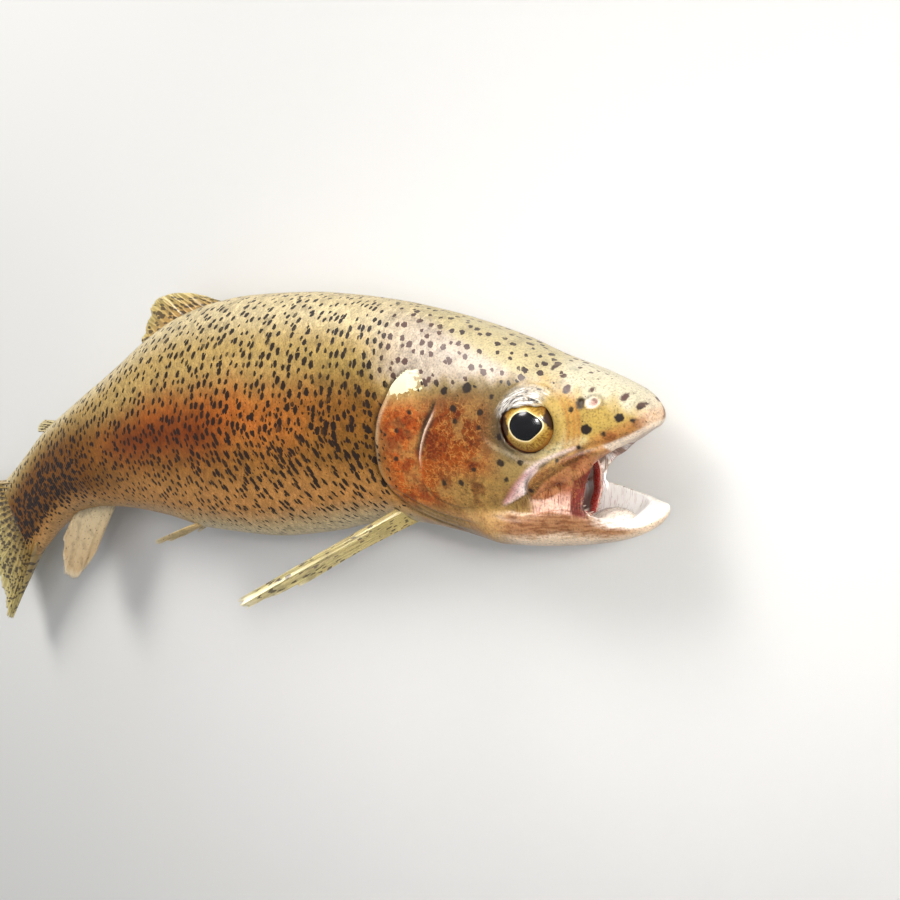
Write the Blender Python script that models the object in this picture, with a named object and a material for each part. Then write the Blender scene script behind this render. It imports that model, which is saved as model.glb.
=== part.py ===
"""Rainbow trout, life size, as a still model lying on its left flank.

The fish is drawn straight first, in fish coordinates: u runs back from the tip of the snout, v
towards the back fin (dorsal) and w towards the fish's own right. swim_bend then gives the rear
half its droop and its slight turn. The straight fish frame has X = -u, Y = v, Z = w, so the right
flank looks up once the fish lies on the floor, Z = 0. All lengths are metres.
"""
import math

import bmesh
import bpy
import numpy as np
from mathutils import Matrix, Vector

# ---- driving dimensions
STANDARD_LENGTH = 0.230        # snout to the end of the scaled tail stem
HEAD_LENGTH = 0.24 * STANDARD_LENGTH
TAIL_DROOP = math.radians(24.6)  # the rear half hangs towards the belly by this much at the tail
TAIL_TURN = math.radians(1.5)    # and turns to the fish's left by this much
JAW_TWIST = math.radians(13)     # the open jaw leans to the right at its tip
REST_CUT = 0.0003              # depth of the small flats that the flank rests on
GAP = 0.0003                   # clearance between neighbouring pieces

# ---- where the body is parted, as fractions of the standard length
NECK_CUT = 0.248
WAIST_CUT = 0.50
VENT_CUT = 0.76
STEM_END = 1.0

SIDES = ((1, "right"), (-1, "left"))
BODY_SIDES = 32
STEM_SIDES = 28


def smooth_curve(points):
    """A monotone cubic through (x, y) points, which never overshoots them."""
    x, y = np.array(points, float).T
    step = np.diff(x)
    slope = np.diff(y) / step
    tangent = np.zeros_like(x)
    tangent[0], tangent[-1] = slope[0], slope[-1]
    for k in range(1, len(x) - 1):
        if slope[k - 1] * slope[k] > 0:
            near, far = 2 * step[k] + step[k - 1], step[k] + 2 * step[k - 1]
            tangent[k] = (near + far) / (near / slope[k - 1] + far / slope[k])

    def curve(at):
        at = np.clip(at, x[0], x[-1])
        k = np.clip(np.searchsorted(x, at) - 1, 0, len(x) - 2)
        t = (at - x[k]) / step[k]
        rise = y[k] * (1 + 2 * t) * (1 - t) ** 2 + y[k + 1] * t * t * (3 - 2 * t)
        return rise + step[k] * (tangent[k] * t * (1 - t) ** 2 - tangent[k + 1] * t * t * (1 - t))

    return curve


# Body profiles: station and value are both fractions of the standard length.
BACK = smooth_curve([(-.004, .002), (0, .0070), (.011, .0200), (.028, .0292), (.049, .0385),
                     (.085, .0522), (.122, .0690), (.161, .0835), (.204, .0965), (.248, .1075),
                     (.31, .1185), (.36, .1245), (.45, .1280), (.49, .1255), (.545, .1170),
                     (.60, .1010), (.65, .0850), (.70, .0740), (.79, .0645), (.85, .0630),
                     (.90, .0590), (.95, .0555), (1.02, .0535)])
BELLY = smooth_curve([(.10, -.060), (.19, -.0965), (.227, -.0930), (.265, -.0915), (.31, -.0975),
                      (.37, -.109), (.455, -.1175), (.545, -.1145), (.63, -.098), (.70, -.0820),
                      (.757, -.0685), (.805, -.057), (.86, -.0495), (.915, -.0505), (.965, -.056),
                      (1.02, -.0600)])
# The head's lower outline: along the upper lip, round the corner of the mouth, then the throat.
LIP_AND_THROAT = smooth_curve([(-.004, -.002), (0, -.0060), (.009, -.0105), (.020, -.0165),
                               (.037, -.0265), (.050, -.0355), (.0775, -.0535), (.0915, -.0620),
                               (.1065, -.0690), (.122, -.082), (.139, -.0965), (.157, -.1035),
                               (.19, -.0985), (.227, -.0935), (.265, -.0915)])
HALF_WIDTH = smooth_curve([(-.004, .003), (0, .0105), (.009, .0200), (.02, .0262), (.05, .0365),
                           (.087, .0443), (.15, .0542), (.20, .0582), (.25, .0600), (.35, .0630),
                           (.45, .0630), (.55, .0578), (.65, .0491), (.75, .0378), (.85, .0260),
                           (.92, .0190), (.97, .0140), (1.02, .0105)])
WIDEST_AT = smooth_curve([(0, .002), (.05, .002), (.10, -.006), (.2, -.010), (.3, -.002),
                          (.5, .004), (.7, .006), (1, 0)])
# Roundness: 2 is an ellipse, more is squarer.
UPPER_ROUNDNESS = smooth_curve([(0, 2.2), (.05, 2.3), (.12, 2.35), (.25, 2.2), (.5, 2.1), (1, 2.2)])
LIP_ROUNDNESS = smooth_curve([(0, 2.4), (.03, 3.2), (.09, 3.4), (.14, 2.4), (.25, 2.1), (1, 2.1)])
LOWER_ROUNDNESS = 2.1

# The open lower jaw: fractions of the head length.
JAW_RIM = smooth_curve([(0, -.306), (.02, -.297), (.06, -.300), (.13, -.287), (.19, -.272),
                        (.24, -.257), (.30, -.245), (.35, -.252), (.40, -.272), (.47, -.285),
                        (.62, -.270)])
JAW_UNDERSIDE = smooth_curve([(0, -.318), (.03, -.345), (.076, -.368), (.204, -.404), (.34, -.425),
                              (.477, -.432), (.62, -.434)])
JAW_HALF_WIDTH = smooth_curve([(0, .018), (.02, .052), (.05, .080), (.14, .122), (.27, .152),
                               (.45, .182), (.62, .204)])
JAW_END = 0.56
JAW_JOINT = 0.58
JAW_WALL = 0.030
JAW_FLOOR = 0.055

# The eye, and the plates of the head, as outlines in (u, v): fractions of the head length.
EYE_CENTRE = (.383, .011)
EYE_RADIUS = .095
EYE_DEPTH = .084
EYE_SEAT = .140                # from the midline to the eye's centre
EYE_FORWARD = math.radians(17)
GILL_COVER = [(.745, .110), (.805, .190), (.880, .172), (.950, .112), (.995, .040), (1.010, -.060),
              (1.003, -.165), (.975, -.265), (.900, -.330), (.810, -.322), (.805, -.240),
              (.830, -.150), (.805, -.065), (.770, .005)]
MAXILLA = [(.161, -.069), (.217, -.081), (.286, -.101), (.344, -.125), (.399, -.156), (.434, -.199),
           (.438, -.228), (.408, -.246), (.362, -.239), (.326, -.223), (.259, -.178), (.217, -.154),
           (.172, -.116), (.145, -.089)]


def fraction_of(length, pairs):
    return [(a * length, b * length) for a, b in pairs]


def half_width(u):
    return HALF_WIDTH(u / STANDARD_LENGTH) * STANDARD_LENGTH


def section(u, sides, grow=0.0, belly=BELLY, roundness=None):
    """One ring of body points (u, v, w) at a station, grown outwards by a distance."""
    at = u / STANDARD_LENGTH
    low_power = roundness(at) if roundness else LOWER_ROUNDNESS
    top = BACK(at) * STANDARD_LENGTH + grow
    bottom = belly(at) * STANDARD_LENGTH - grow
    half = half_width(u) + grow
    middle = WIDEST_AT(at) * STANDARD_LENGTH
    middle = min(max(middle, bottom + 0.35 * (top - bottom)), top - 0.35 * (top - bottom))
    ring = []
    for turn in np.linspace(0, 2 * math.pi, sides, endpoint=False):
        rise, out = math.sin(turn), math.cos(turn)
        power = UPPER_ROUNDNESS(at) if rise > 0 else low_power
        reach = (top - middle) if rise > 0 else (middle - bottom)
        v = middle + math.copysign(abs(rise) ** (2 / power), rise) * reach
        w = math.copysign(abs(out) ** (2 / power), out) * half
        ring.append((u, v, w))
    return ring


def spine_tables(samples=600):
    """Where the bent centre line runs, and the back and side directions along it."""
    u = np.linspace(0, 1.25 * STANDARD_LENGTH, samples)
    at = u / STANDARD_LENGTH

    def ease(start, end):
        t = np.clip((at - start) / (end - start), 0, 1)
        return t * t * (3 - 2 * t)

    turn = TAIL_TURN * ease(0.45, 1.0)
    droop = TAIL_DROOP * ease(0.45, 0.95)
    back = np.stack([-np.cos(turn) * np.cos(droop), -np.sin(droop),
                     -np.sin(turn) * np.cos(droop)], 1)
    steps = (back[1:] + back[:-1]) / 2 * np.diff(u)[:, None]
    centre = np.vstack([[0, 0, 0], np.cumsum(steps, 0)])
    side = np.stack([-np.sin(turn), 0 * turn, np.cos(turn)], 1)
    dorsal = np.cross(side, -back)
    return u, centre, dorsal, side


SPINE = spine_tables()


def swim_bend(points):
    """Carry straight fish points (X = -u, v, w) onto the bent fish."""
    points = np.asarray(points, float)
    u = -points[:, 0]
    stations, centre, dorsal, side = SPINE

    def at(table):
        return np.stack([np.interp(u, stations, table[:, k]) for k in range(3)], 1)

    placed = at(centre) + points[:, 1:2] * at(dorsal) + points[:, 2:3] * at(side)
    placed[:, 0] += np.maximum(-u, 0)
    return placed


# ---- building blocks
def straight(point):
    u, v, w = point
    return (-u, v, w)


def new_object(name, mesh_maker):
    mesh = bpy.data.meshes.new(name)
    work = bmesh.new()
    mesh_maker(work)
    bmesh.ops.recalc_face_normals(work, faces=work.faces)
    work.to_mesh(mesh)
    work.free()
    thing = bpy.data.objects.new(name, mesh)
    bpy.context.scene.collection.objects.link(thing)
    return thing


def loft(name, rings):
    """A closed skin over rings of (u, v, w) points, with flat ends."""
    def make(work):
        rows = [[work.verts.new(straight(point)) for point in ring] for ring in rings]
        sides = len(rings[0])
        for near, far in zip(rows, rows[1:]):
            for k in range(sides):
                nxt = (k + 1) % sides
                work.faces.new((near[k], near[nxt], far[nxt], far[k]))
        work.faces.new(rows[0])
        work.faces.new(rows[-1])
    return new_object(name, make)


def flank_prism(name, outline, side, depth):
    """An outline in (u, v), cut sideways from beyond the flank to a depth below its widest line."""
    def make(work):
        rows = []
        for reach in (-depth, 0.02):
            rows.append([work.verts.new(straight((u, v, side * (half_width(u) + reach))))
                         for u, v in outline])
        sides = len(outline)
        for k in range(sides):
            nxt = (k + 1) % sides
            work.faces.new((rows[0][k], rows[0][nxt], rows[1][nxt], rows[1][k]))
        work.faces.new(rows[0])
        work.faces.new(rows[1])
    return new_object(name, make)


def round_outline(points, per_corner=3):
    """A closed outline drawn as a smooth loop through its points."""
    points = np.array(points)
    count = len(points)
    loop = []
    for k in range(count):
        p0, p1, p2, p3 = (points[(k + j - 1) % count] for j in range(4))
        for t in np.linspace(0, 1, per_corner, endpoint=False):
            loop.append(0.5 * (2 * p1 + (p2 - p0) * t + (2 * p0 - 5 * p1 + 4 * p2 - p3) * t ** 2
                               + (3 * p1 - p0 - 3 * p2 + p3) * t ** 3))
    return [tuple(point) for point in loop]


def grown_outline(outline, distance):
    """The same outline, moved outwards by a distance."""
    points = np.array(outline)
    ahead, behind = np.roll(points, -1, 0), np.roll(points, 1, 0)
    tangent = ahead - behind
    tangent /= np.linalg.norm(tangent, axis=1)[:, None]
    area = 0.5 * np.sum(points[:, 0] * ahead[:, 1] - ahead[:, 0] * points[:, 1])
    normal = np.stack([tangent[:, 1], -tangent[:, 0]], 1) * math.copysign(1, area)
    return [tuple(point) for point in points + distance * normal]


def eyeball(name, side, grow=0.0):
    """A flattened ball that looks sideways and a little forward."""
    radius, depth = EYE_RADIUS * HEAD_LENGTH + grow, EYE_DEPTH * HEAD_LENGTH + grow
    centre = Vector(straight([a * HEAD_LENGTH for a in (*EYE_CENTRE, side * EYE_SEAT)]))
    turn = Matrix.Rotation(side * EYE_FORWARD, 3, "Y")

    def make(work):
        bmesh.ops.create_uvsphere(work, u_segments=18, v_segments=10, radius=1)
        for vert in work.verts:
            vert.co = centre + turn @ Vector((vert.co.x * radius, vert.co.y * radius, vert.co.z * depth))
    return new_object(name, make)


def tube(name, path, radii, sides=8):
    """A closed rod through (u, v, w) points with its own radius at each."""
    path = np.array(path)
    rings = []
    for k, here in enumerate(path):
        along = path[min(k + 1, len(path) - 1)] - path[max(k - 1, 0)]
        along /= np.linalg.norm(along)
        helper = (1, 0, 0) if abs(along[0]) < 0.8 else (0, 0, 1)
        across = np.cross(along, helper)
        across /= np.linalg.norm(across)
        other = np.cross(along, across)
        rings.append([tuple(here + radii[k] * (math.cos(a) * across + math.sin(a) * other))
                      for a in np.linspace(0, 2 * math.pi, sides, endpoint=False)])
    return loft(name, rings)


def fin_blade(name, root, margin, thickness, lean=None, across=12, along=4):
    """A thin blade between a root line and a free margin, each a curve of s from 0 to 1.

    thickness is (at the root, at the margin). lean, where given, is a direction the blade's
    faces look along; a median fin looks sideways.
    """
    normal = np.array(lean if lean is not None else (0, 0, 1), float)
    normal /= np.linalg.norm(normal)

    def make(work):
        faces = []
        for side in (0.5, -0.5):
            grid = []
            for s in np.linspace(0, 1, across):
                start, end = np.array(root(s)), np.array(margin(s))
                row = []
                for t in np.linspace(0, 1, along):
                    thick = thickness[0] + (thickness[1] - thickness[0]) * t
                    row.append(work.verts.new(straight(start + (end - start) * t + normal * thick * side)))
                grid.append(row)
            for a, b in zip(grid, grid[1:]):
                for k in range(along - 1):
                    work.faces.new((a[k], a[k + 1], b[k + 1], b[k]))
            faces.append(grid)
        front, rear = faces

        def close(one, two):
            for k in range(len(one) - 1):
                work.faces.new((one[k], one[k + 1], two[k + 1], two[k]))

        close(front[0], rear[0])
        close(front[-1], rear[-1])
        close([row[0] for row in front], [row[0] for row in rear])
        close([row[-1] for row in front], [row[-1] for row in rear])
    return new_object(name, make)


def carve(thing, cutter, operation="DIFFERENCE"):
    """Add a Boolean of one piece with another, to be worked out later."""
    step = thing.modifiers.new(cutter.name, "BOOLEAN")
    step.operation = operation
    step.object = cutter
    step.solver = "EXACT"


def bake(thing):
    """Replace a piece's mesh with what its modifiers make of it."""
    graph = bpy.context.evaluated_depsgraph_get()
    mesh = bpy.data.meshes.new_from_object(thing.evaluated_get(graph))
    thing.modifiers.clear()
    thing.data = mesh
    return thing


def remove(*things):
    for thing in things:
        bpy.data.objects.remove(thing)


# ---- the head and its plates
def head_rings(start, end, grow=0.0, extra=0.0):
    """Rings of the head, close together at the rounded snout."""
    share = np.linspace(0, 1, 20)
    stations = start + (end - start) * (0.35 * share + 0.65 * share ** 2.2)
    rings = [section(u, BODY_SIDES, grow, LIP_AND_THROAT, LIP_ROUNDNESS) for u in stations]
    if extra:
        rings.append([(end + extra, v, w) for _, v, w in rings[-1]])
    return rings


SNOUT_TIP = -0.003 * STANDARD_LENGTH
MUZZLE = 0.018 * STANDARD_LENGTH     # where the head is deep enough for a plate's inner face
NECK = NECK_CUT * STANDARD_LENGTH


def twist_jaw(points):
    """Lean the jaw about its own long axis, most at the tip and not at all at the joint."""
    twisted = []
    pivot_v = -0.33 * HEAD_LENGTH
    for u, v, w in points:
        t = min(max(1 - u / (JAW_JOINT * HEAD_LENGTH), 0), 1)
        angle = JAW_TWIST * t * t * (3 - 2 * t)
        dv, dw = v - pivot_v, w
        twisted.append((u, pivot_v + dv * math.cos(angle) - dw * math.sin(angle),
                        dw * math.cos(angle) + dv * math.sin(angle)))
    return twisted


def jaw_section(at, grow=0.0, sides=20):
    rim = JAW_RIM(at) * HEAD_LENGTH + grow
    low = JAW_UNDERSIDE(at) * HEAD_LENGTH - grow
    half = JAW_HALF_WIDTH(at) * HEAD_LENGTH + grow
    middle = low + 0.62 * (rim - low)
    ring = []
    for turn in np.linspace(0, 2 * math.pi, sides, endpoint=False):
        rise, out = math.sin(turn), math.cos(turn)
        power = 4.0 if rise > 0 else 2.2
        reach = (rim - middle) if rise > 0 else (middle - low)
        ring.append((at * HEAD_LENGTH, middle + math.copysign(abs(rise) ** (2 / power), rise) * reach,
                     math.copysign(abs(out) ** (2 / power), out) * half))
    return twist_jaw(ring)


def jaw_loft(name, grow=0.0):
    share = np.linspace(0, 1, 13)
    stations = JAW_END * (0.3 * share + 0.7 * share ** 2)
    rings = [jaw_section(at, grow) for at in stations]
    if grow:
        rings[0] = [(u - grow, v, w) for u, v, w in rings[0]]
        rings[-1] = [(u + grow, v, w) for u, v, w in rings[-1]]
    return loft(name, rings)


def jaw_trough(name):
    """The hollow between the two sides of the jaw, open at its top and its rear."""
    rings = []
    for at in np.linspace(0.045, JAW_END + 0.05, 12):
        half = (JAW_HALF_WIDTH(at) - JAW_WALL) * HEAD_LENGTH
        fade = min(1.0, (at - 0.02) / 0.12)
        floor = (JAW_RIM(at) + (JAW_UNDERSIDE(at) + JAW_FLOOR - JAW_RIM(at)) * fade) * HEAD_LENGTH
        top = (JAW_RIM(at) + 0.06) * HEAD_LENGTH
        outline = [(half, top), (half, floor + 0.45 * half), (0.72 * half, floor + 0.12 * half),
                   (0.3 * half, floor), (-0.3 * half, floor), (-0.72 * half, floor + 0.12 * half),
                   (-half, floor + 0.45 * half), (-half, top)]
        rings.append(twist_jaw([(at * HEAD_LENGTH, v, w) for w, v in outline]))
    return loft(name, rings)


def mouth_cavity(name):
    """The space inside the open mouth: palate above, throat behind."""
    palate = smooth_curve([(-.03, -.03), (.03, -.052), (.10, -.075), (.20, -.098), (.40, -.125), (.68, -.17)])
    floor = smooth_curve([(-.03, -.20), (.10, -.30), (.30, -.345), (.50, -.365), (.60, -.362), (.68, -.33)])
    width = smooth_curve([(-.03, .020), (.03, .045), (.10, .085), (.20, .118), (.32, .146),
                          (.45, .155), (.56, .135), (.68, .070)])
    rings = []
    for at in np.linspace(-.03, .68, 14):
        high, low, half = palate(at) * HEAD_LENGTH, floor(at) * HEAD_LENGTH, width(at) * HEAD_LENGTH
        middle = (high + low) / 2
        ring = []
        for turn in np.linspace(0, 2 * math.pi, 24, endpoint=False):
            rise, out = math.sin(turn), math.cos(turn)
            ring.append((at * HEAD_LENGTH,
                         middle + math.copysign(abs(rise) ** (2 / 3), rise) * (high - low) / 2,
                         math.copysign(abs(out) ** (2 / 3), out) * half))
        rings.append(ring)
    return loft(name, rings)


def plate(name, outline, side, proud, sunk, depth):
    """A thin plate that follows the head's surface inside an outline, and the seat it needs."""
    outer = loft("plate_outside", head_rings(SNOUT_TIP, NECK, proud, GAP))
    inner = loft("plate_inside", head_rings(MUZZLE, NECK, -sunk, 0.01))
    piece = flank_prism(name, outline, side, depth)
    carve(piece, outer, "INTERSECT")
    carve(piece, inner)
    bake(piece)
    deeper = loft("plate_seat", head_rings(MUZZLE, NECK, -sunk - GAP, 0.01))
    seat = flank_prism(name + "_seat", grown_outline(outline, GAP), side, depth + GAP)
    carve(seat, deeper)
    bake(seat)
    remove(outer, inner, deeper)
    return piece, seat


def build_head():
    """The head with its mouth, plates, eyes, jaw and what the open mouth shows."""
    head = loft("head", head_rings(SNOUT_TIP, NECK - GAP / 2))
    pieces = [head]
    cavity = mouth_cavity("mouth_cavity")
    jaw_room = jaw_loft("jaw_room", GAP)
    cutters = [cavity, jaw_room]
    gill_outline = round_outline(fraction_of(HEAD_LENGTH, GILL_COVER), 2)
    maxilla_outline = round_outline(fraction_of(HEAD_LENGTH, MAXILLA), 2)
    for side, word in SIDES:
        lip, seat = plate("maxilla_" + word, maxilla_outline, side, 0.0006, 0.0011, 0.0029)
        carve(lip, cavity)
        carve(lip, jaw_room)
        pieces.append(lip)
        cutters.append(seat)
    for side, word in SIDES:
        cover, seat = plate("gill_cover_" + word, gill_outline, side, 0.0004, 0.0016, 0.0085)
        pieces += [cover, eyeball("eye_" + word, side)]
        cutters += [seat, eyeball("socket_" + word, side, GAP)]
    for cutter in cutters[2:]:
        carve(head, cutter)
    carve(head, jaw_room)
    carve(head, cavity)
    jaw = jaw_loft("lower_jaw")
    trough = jaw_trough("jaw_trough")
    carve(jaw, trough)
    cutters.append(trough)
    pieces.append(jaw)
    for piece in pieces:
        bake(piece)
    remove(*cutters)
    return pieces + [build_tongue(), build_gill_arches()]


def build_tongue():
    """The tongue and the bar behind it, lying along the floor of the mouth."""
    rings = []
    for at in np.linspace(0.13, 0.325, 10):
        t = (at - 0.13) / 0.195
        half = (0.022 + 0.040 * math.sin(math.pi * min(t * 0.9 + 0.1, 1)) ** 0.7) * HEAD_LENGTH
        low = (JAW_UNDERSIDE(at) + JAW_FLOOR) * HEAD_LENGTH + 0.0009
        high = low + (0.030 + 0.028 * math.sin(math.pi * min(t + 0.05, 1))) * HEAD_LENGTH
        ring = [(at * HEAD_LENGTH, (high + low) / 2 + (high - low) / 2 * math.sin(a), half * math.cos(a))
                for a in np.linspace(0, 2 * math.pi, 14, endpoint=False)]
        rings.append(twist_jaw(ring))
    return loft("tongue", rings)


def build_gill_arches():
    """Three arches a side, rising from a bar on the midline behind the tongue."""
    low = (JAW_UNDERSIDE(0.5) + JAW_FLOOR) * HEAD_LENGTH
    bar_v = low + 0.052 * HEAD_LENGTH
    arches = tube("gill_arches", [(u * HEAD_LENGTH, bar_v, 0) for u in (.355, .42, .50, .56)],
                  [0.0011, 0.0012, 0.0012, 0.0010])
    joined = []
    for side in (1, -1):
        for k in range(3):
            base = (0.365 + 0.055 * k) * HEAD_LENGTH
            path = []
            for t in np.linspace(0, 1, 6):
                bow = math.sin(math.pi * (0.12 + 0.62 * t))
                path.append((base - 0.02 * HEAD_LENGTH * math.sin(math.pi * t),
                             bar_v + 0.155 * HEAD_LENGTH * t,
                             side * 0.118 * HEAD_LENGTH * (bow - 0.36) / 0.64 * min(1, 4 * t)))
            path[0] = (base, bar_v, 0)
            rod = tube("arch_%s_%d" % (side, k), path, [0.0006] + [0.0009] * 4 + [0.0007], 6)
            carve(arches, rod, "UNION")
            joined.append(rod)
    bake(arches)
    remove(*joined)
    return arches


# ---- trunk and tail
def body_rings(start, end, sides, spacing, grow=0.0):
    count = max(3, int(round((end - start) / spacing)) + 1)
    return [section(u, sides, grow) for u in np.linspace(start, end, count)]


def build_trunk():
    pieces = []
    bounds = [(NECK_CUT, WAIST_CUT, "trunk_front", BODY_SIDES),
              (WAIST_CUT, VENT_CUT, "trunk_rear", STEM_SIDES),
              (VENT_CUT, STEM_END, "tail_stem", STEM_SIDES)]
    for start, end, name, sides in bounds:
        pieces.append(loft(name, body_rings(start * STANDARD_LENGTH + GAP / 2,
                                            end * STANDARD_LENGTH - GAP / 2, sides, 0.0065)))
    return pieces


# ---- fins: (u, v) points are fractions of the standard length
def line(*points):
    """A smooth line through points, as a function of s from 0 to 1."""
    points = np.array(points, float) * STANDARD_LENGTH
    knots = np.linspace(0, 1, len(points))
    curves = [smooth_curve(list(zip(knots, points[:, k]))) for k in range(points.shape[1])]
    return lambda s: tuple(float(curve(s)) for curve in curves)


def median(points):
    return line(*[(u, v, 0) for u, v in points])


def build_fins():
    """The back, belly and paired fins, each parted from the body by the usual gap."""
    fins = [
        fin_blade("dorsal_fin", median([(.478, .110), (.540, .105), (.604, .095)]),
                  median([(.540, .1400), (.562, .1440), (.579, .1370), (.595, .124), (.610, .108)]),
                  (0.0016, 0.0006)),
        fin_blade("adipose_fin", median([(.812, .058), (.828, .057), (.842, .055)]),
                  median([(.852, .0770), (.868, .0765), (.876, .0705)]), (0.0018, 0.0008), None, 8, 4),
        fin_blade("anal_fin", median([(.742, -.055), (.790, -.045), (.846, -.038)]),
                  line((.856, -.113, .010), (.885, -.110, .016), (.902, -.092, .015), (.902, -.068, .008)),
                  (0.0016, 0.0006), (0, -.15, 1)),
        fin_blade("pectoral_fin_right", line((.236, -.068, .028), (.240, -.078, .024), (.244, -.086, .018)),
                  line((.350, -.132, .147), (.352, -.139, .140), (.335, -.134, .118), (.315, -.124, .094)),
                  (0.0014, 0.0006), (.75, .35, -.55)),
        fin_blade("pectoral_fin_left", line((.238, -.062, -.036), (.240, -.072, -.032), (.242, -.080, -.026)),
                  line((.385, -.066, -.054), (.392, -.078, -.0515), (.380, -.092, -.0450),
                       (.350, -.104, -.036)),
                  (0.0012, 0.0006), (0, -.38, 1)),
    ]
    for side, word in SIDES:
        root = line((.528, -.098, side * .016), (.536, -.100, side * .010), (.545, -.100, side * .004))
        margin = line((.635, -.118, side * .038), (.645, -.122, side * .030),
                      (.632, -.122, side * .018), (.610, -.118, side * .008))
        fins.append(fin_blade("pelvic_fin_" + word, root, margin, (0.0012, 0.0006), (0, .8, side * .6), 10, 5))
    grown = loft("body_room", body_rings(0.18 * STANDARD_LENGTH, 1.01 * STANDARD_LENGTH, BODY_SIDES,
                                         0.0065, GAP))
    for fin in fins:
        carve(fin, grown)
        bake(fin)
    remove(grown)
    return fins + [build_caudal_fin()]


def build_caudal_fin():
    """The tail fin: its root is the end of the stem, its margin is slightly forked."""
    reach = STEM_END * STANDARD_LENGTH + GAP / 2
    high, low = BACK(1.0) * STANDARD_LENGTH, BELLY(1.0) * STANDARD_LENGTH
    margin = median([(1.142, .106), (1.150, .094), (1.128, .045), (1.112, 0), (1.128, -.045),
                     (1.150, -.094), (1.142, -.106)])
    return fin_blade("caudal_fin", lambda s: (reach, high + (low - high) * s, 0), margin,
                     (0.0044, 0.0006), None, 17, 5)


# ---- finish and placing
FLESH = {"olive_skin": ((.36, .30, .10), .35), "gill_cover": ((.46, .22, .08), .35),
         "pale_mouth": ((.80, .72, .62), .35), "fin": ((.42, .36, .14), .40),
         "eye": ((.05, .04, .02), .08), "gill_red": ((.32, .03, .02), .30)}


def surface(name):
    colour, roughness = FLESH[name]
    material = bpy.data.materials.new(name)
    material.use_nodes = True
    shader = material.node_tree.nodes["Principled BSDF"]
    shader.inputs["Base Color"].default_value = (*colour, 1)
    shader.inputs["Roughness"].default_value = roughness
    shader.inputs["Metallic"].default_value = 0
    return material


def surface_of(node):
    for part, name in (("fin", "fin"), ("eye", "eye"), ("gill_cover", "gill_cover"),
                       ("gill_arches", "gill_red"), ("tongue", "pale_mouth")):
        if part in node:
            return name
    return "olive_skin"


def world_bounds(things):
    corners = np.array([tuple(thing.matrix_world @ vert.co)
                        for thing in things for vert in thing.data.vertices])
    return corners.min(0), corners.max(0)


def floor_cutter():
    def make(work):
        bmesh.ops.create_cube(work, size=1)
        for vert in work.verts:
            vert.co = (vert.co.x * 0.5, vert.co.y * 0.3, vert.co.z * 0.02 - 0.01)
    cutter = new_object("floor_cutter", make)
    cutter.hide_render = True
    cutter.display_type = "WIRE"
    return cutter


def main():
    for thing in list(bpy.data.objects):
        bpy.data.objects.remove(thing)
    pieces = build_head() + build_trunk() + build_fins()
    fish = bpy.data.objects.new("fish", None)
    bpy.context.scene.collection.objects.link(fish)
    materials = {name: surface(name) for name in FLESH}
    for piece in pieces:
        points = swim_bend([tuple(vert.co) for vert in piece.data.vertices])
        for vert, point in zip(piece.data.vertices, points):
            vert.co = point
        piece.data.shade_smooth()
        piece.data.set_sharp_from_angle(angle=math.radians(40))
        piece.data.materials.clear()
        piece.data.materials.append(materials[surface_of(piece.name)])
        piece.parent = fish
    bpy.context.view_layer.update()
    low, high = world_bounds(pieces)
    fish.location = (-(low[0] + high[0]) / 2, -(low[1] + high[1]) / 2, -low[2] - REST_CUT)
    bpy.context.view_layer.update()
    cutter = floor_cutter()
    for piece in pieces:
        lowest = world_bounds([piece])[0][2]
        if lowest < 0:
            carve(piece, cutter)
    bpy.context.view_layer.update()


main()
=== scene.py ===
"""Looks of the rainbow trout: one skin over the head, jaw, trunk and stem, scales, fins and eyes.

The fish is made straight, in millimetres: u runs back from the snout, v towards the back fin and
w towards the fish's own right. to_world() bends it as the CAD is bent and sets it on the floor.
"""
import math

import bpy
import numpy as np
from mathutils import Matrix, Vector


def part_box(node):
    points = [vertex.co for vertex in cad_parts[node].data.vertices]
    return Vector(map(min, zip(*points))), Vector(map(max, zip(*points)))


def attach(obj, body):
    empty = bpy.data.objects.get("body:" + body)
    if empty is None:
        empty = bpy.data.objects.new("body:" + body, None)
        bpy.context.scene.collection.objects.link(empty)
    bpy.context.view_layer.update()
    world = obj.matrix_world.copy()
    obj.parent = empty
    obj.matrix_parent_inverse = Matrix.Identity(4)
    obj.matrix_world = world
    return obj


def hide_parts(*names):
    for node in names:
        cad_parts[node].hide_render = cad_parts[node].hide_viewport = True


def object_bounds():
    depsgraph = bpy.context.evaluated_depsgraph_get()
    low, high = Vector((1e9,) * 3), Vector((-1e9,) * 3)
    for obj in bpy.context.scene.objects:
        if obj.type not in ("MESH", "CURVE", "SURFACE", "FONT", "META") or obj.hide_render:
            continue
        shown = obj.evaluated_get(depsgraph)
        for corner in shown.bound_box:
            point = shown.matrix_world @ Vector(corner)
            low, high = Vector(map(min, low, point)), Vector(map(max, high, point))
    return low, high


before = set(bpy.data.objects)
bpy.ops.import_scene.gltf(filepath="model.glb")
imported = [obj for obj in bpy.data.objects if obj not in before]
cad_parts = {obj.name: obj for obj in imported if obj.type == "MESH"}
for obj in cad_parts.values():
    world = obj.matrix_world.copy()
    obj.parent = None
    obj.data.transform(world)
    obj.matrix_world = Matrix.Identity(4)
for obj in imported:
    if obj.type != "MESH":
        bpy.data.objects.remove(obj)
CAD_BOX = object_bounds()

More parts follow.
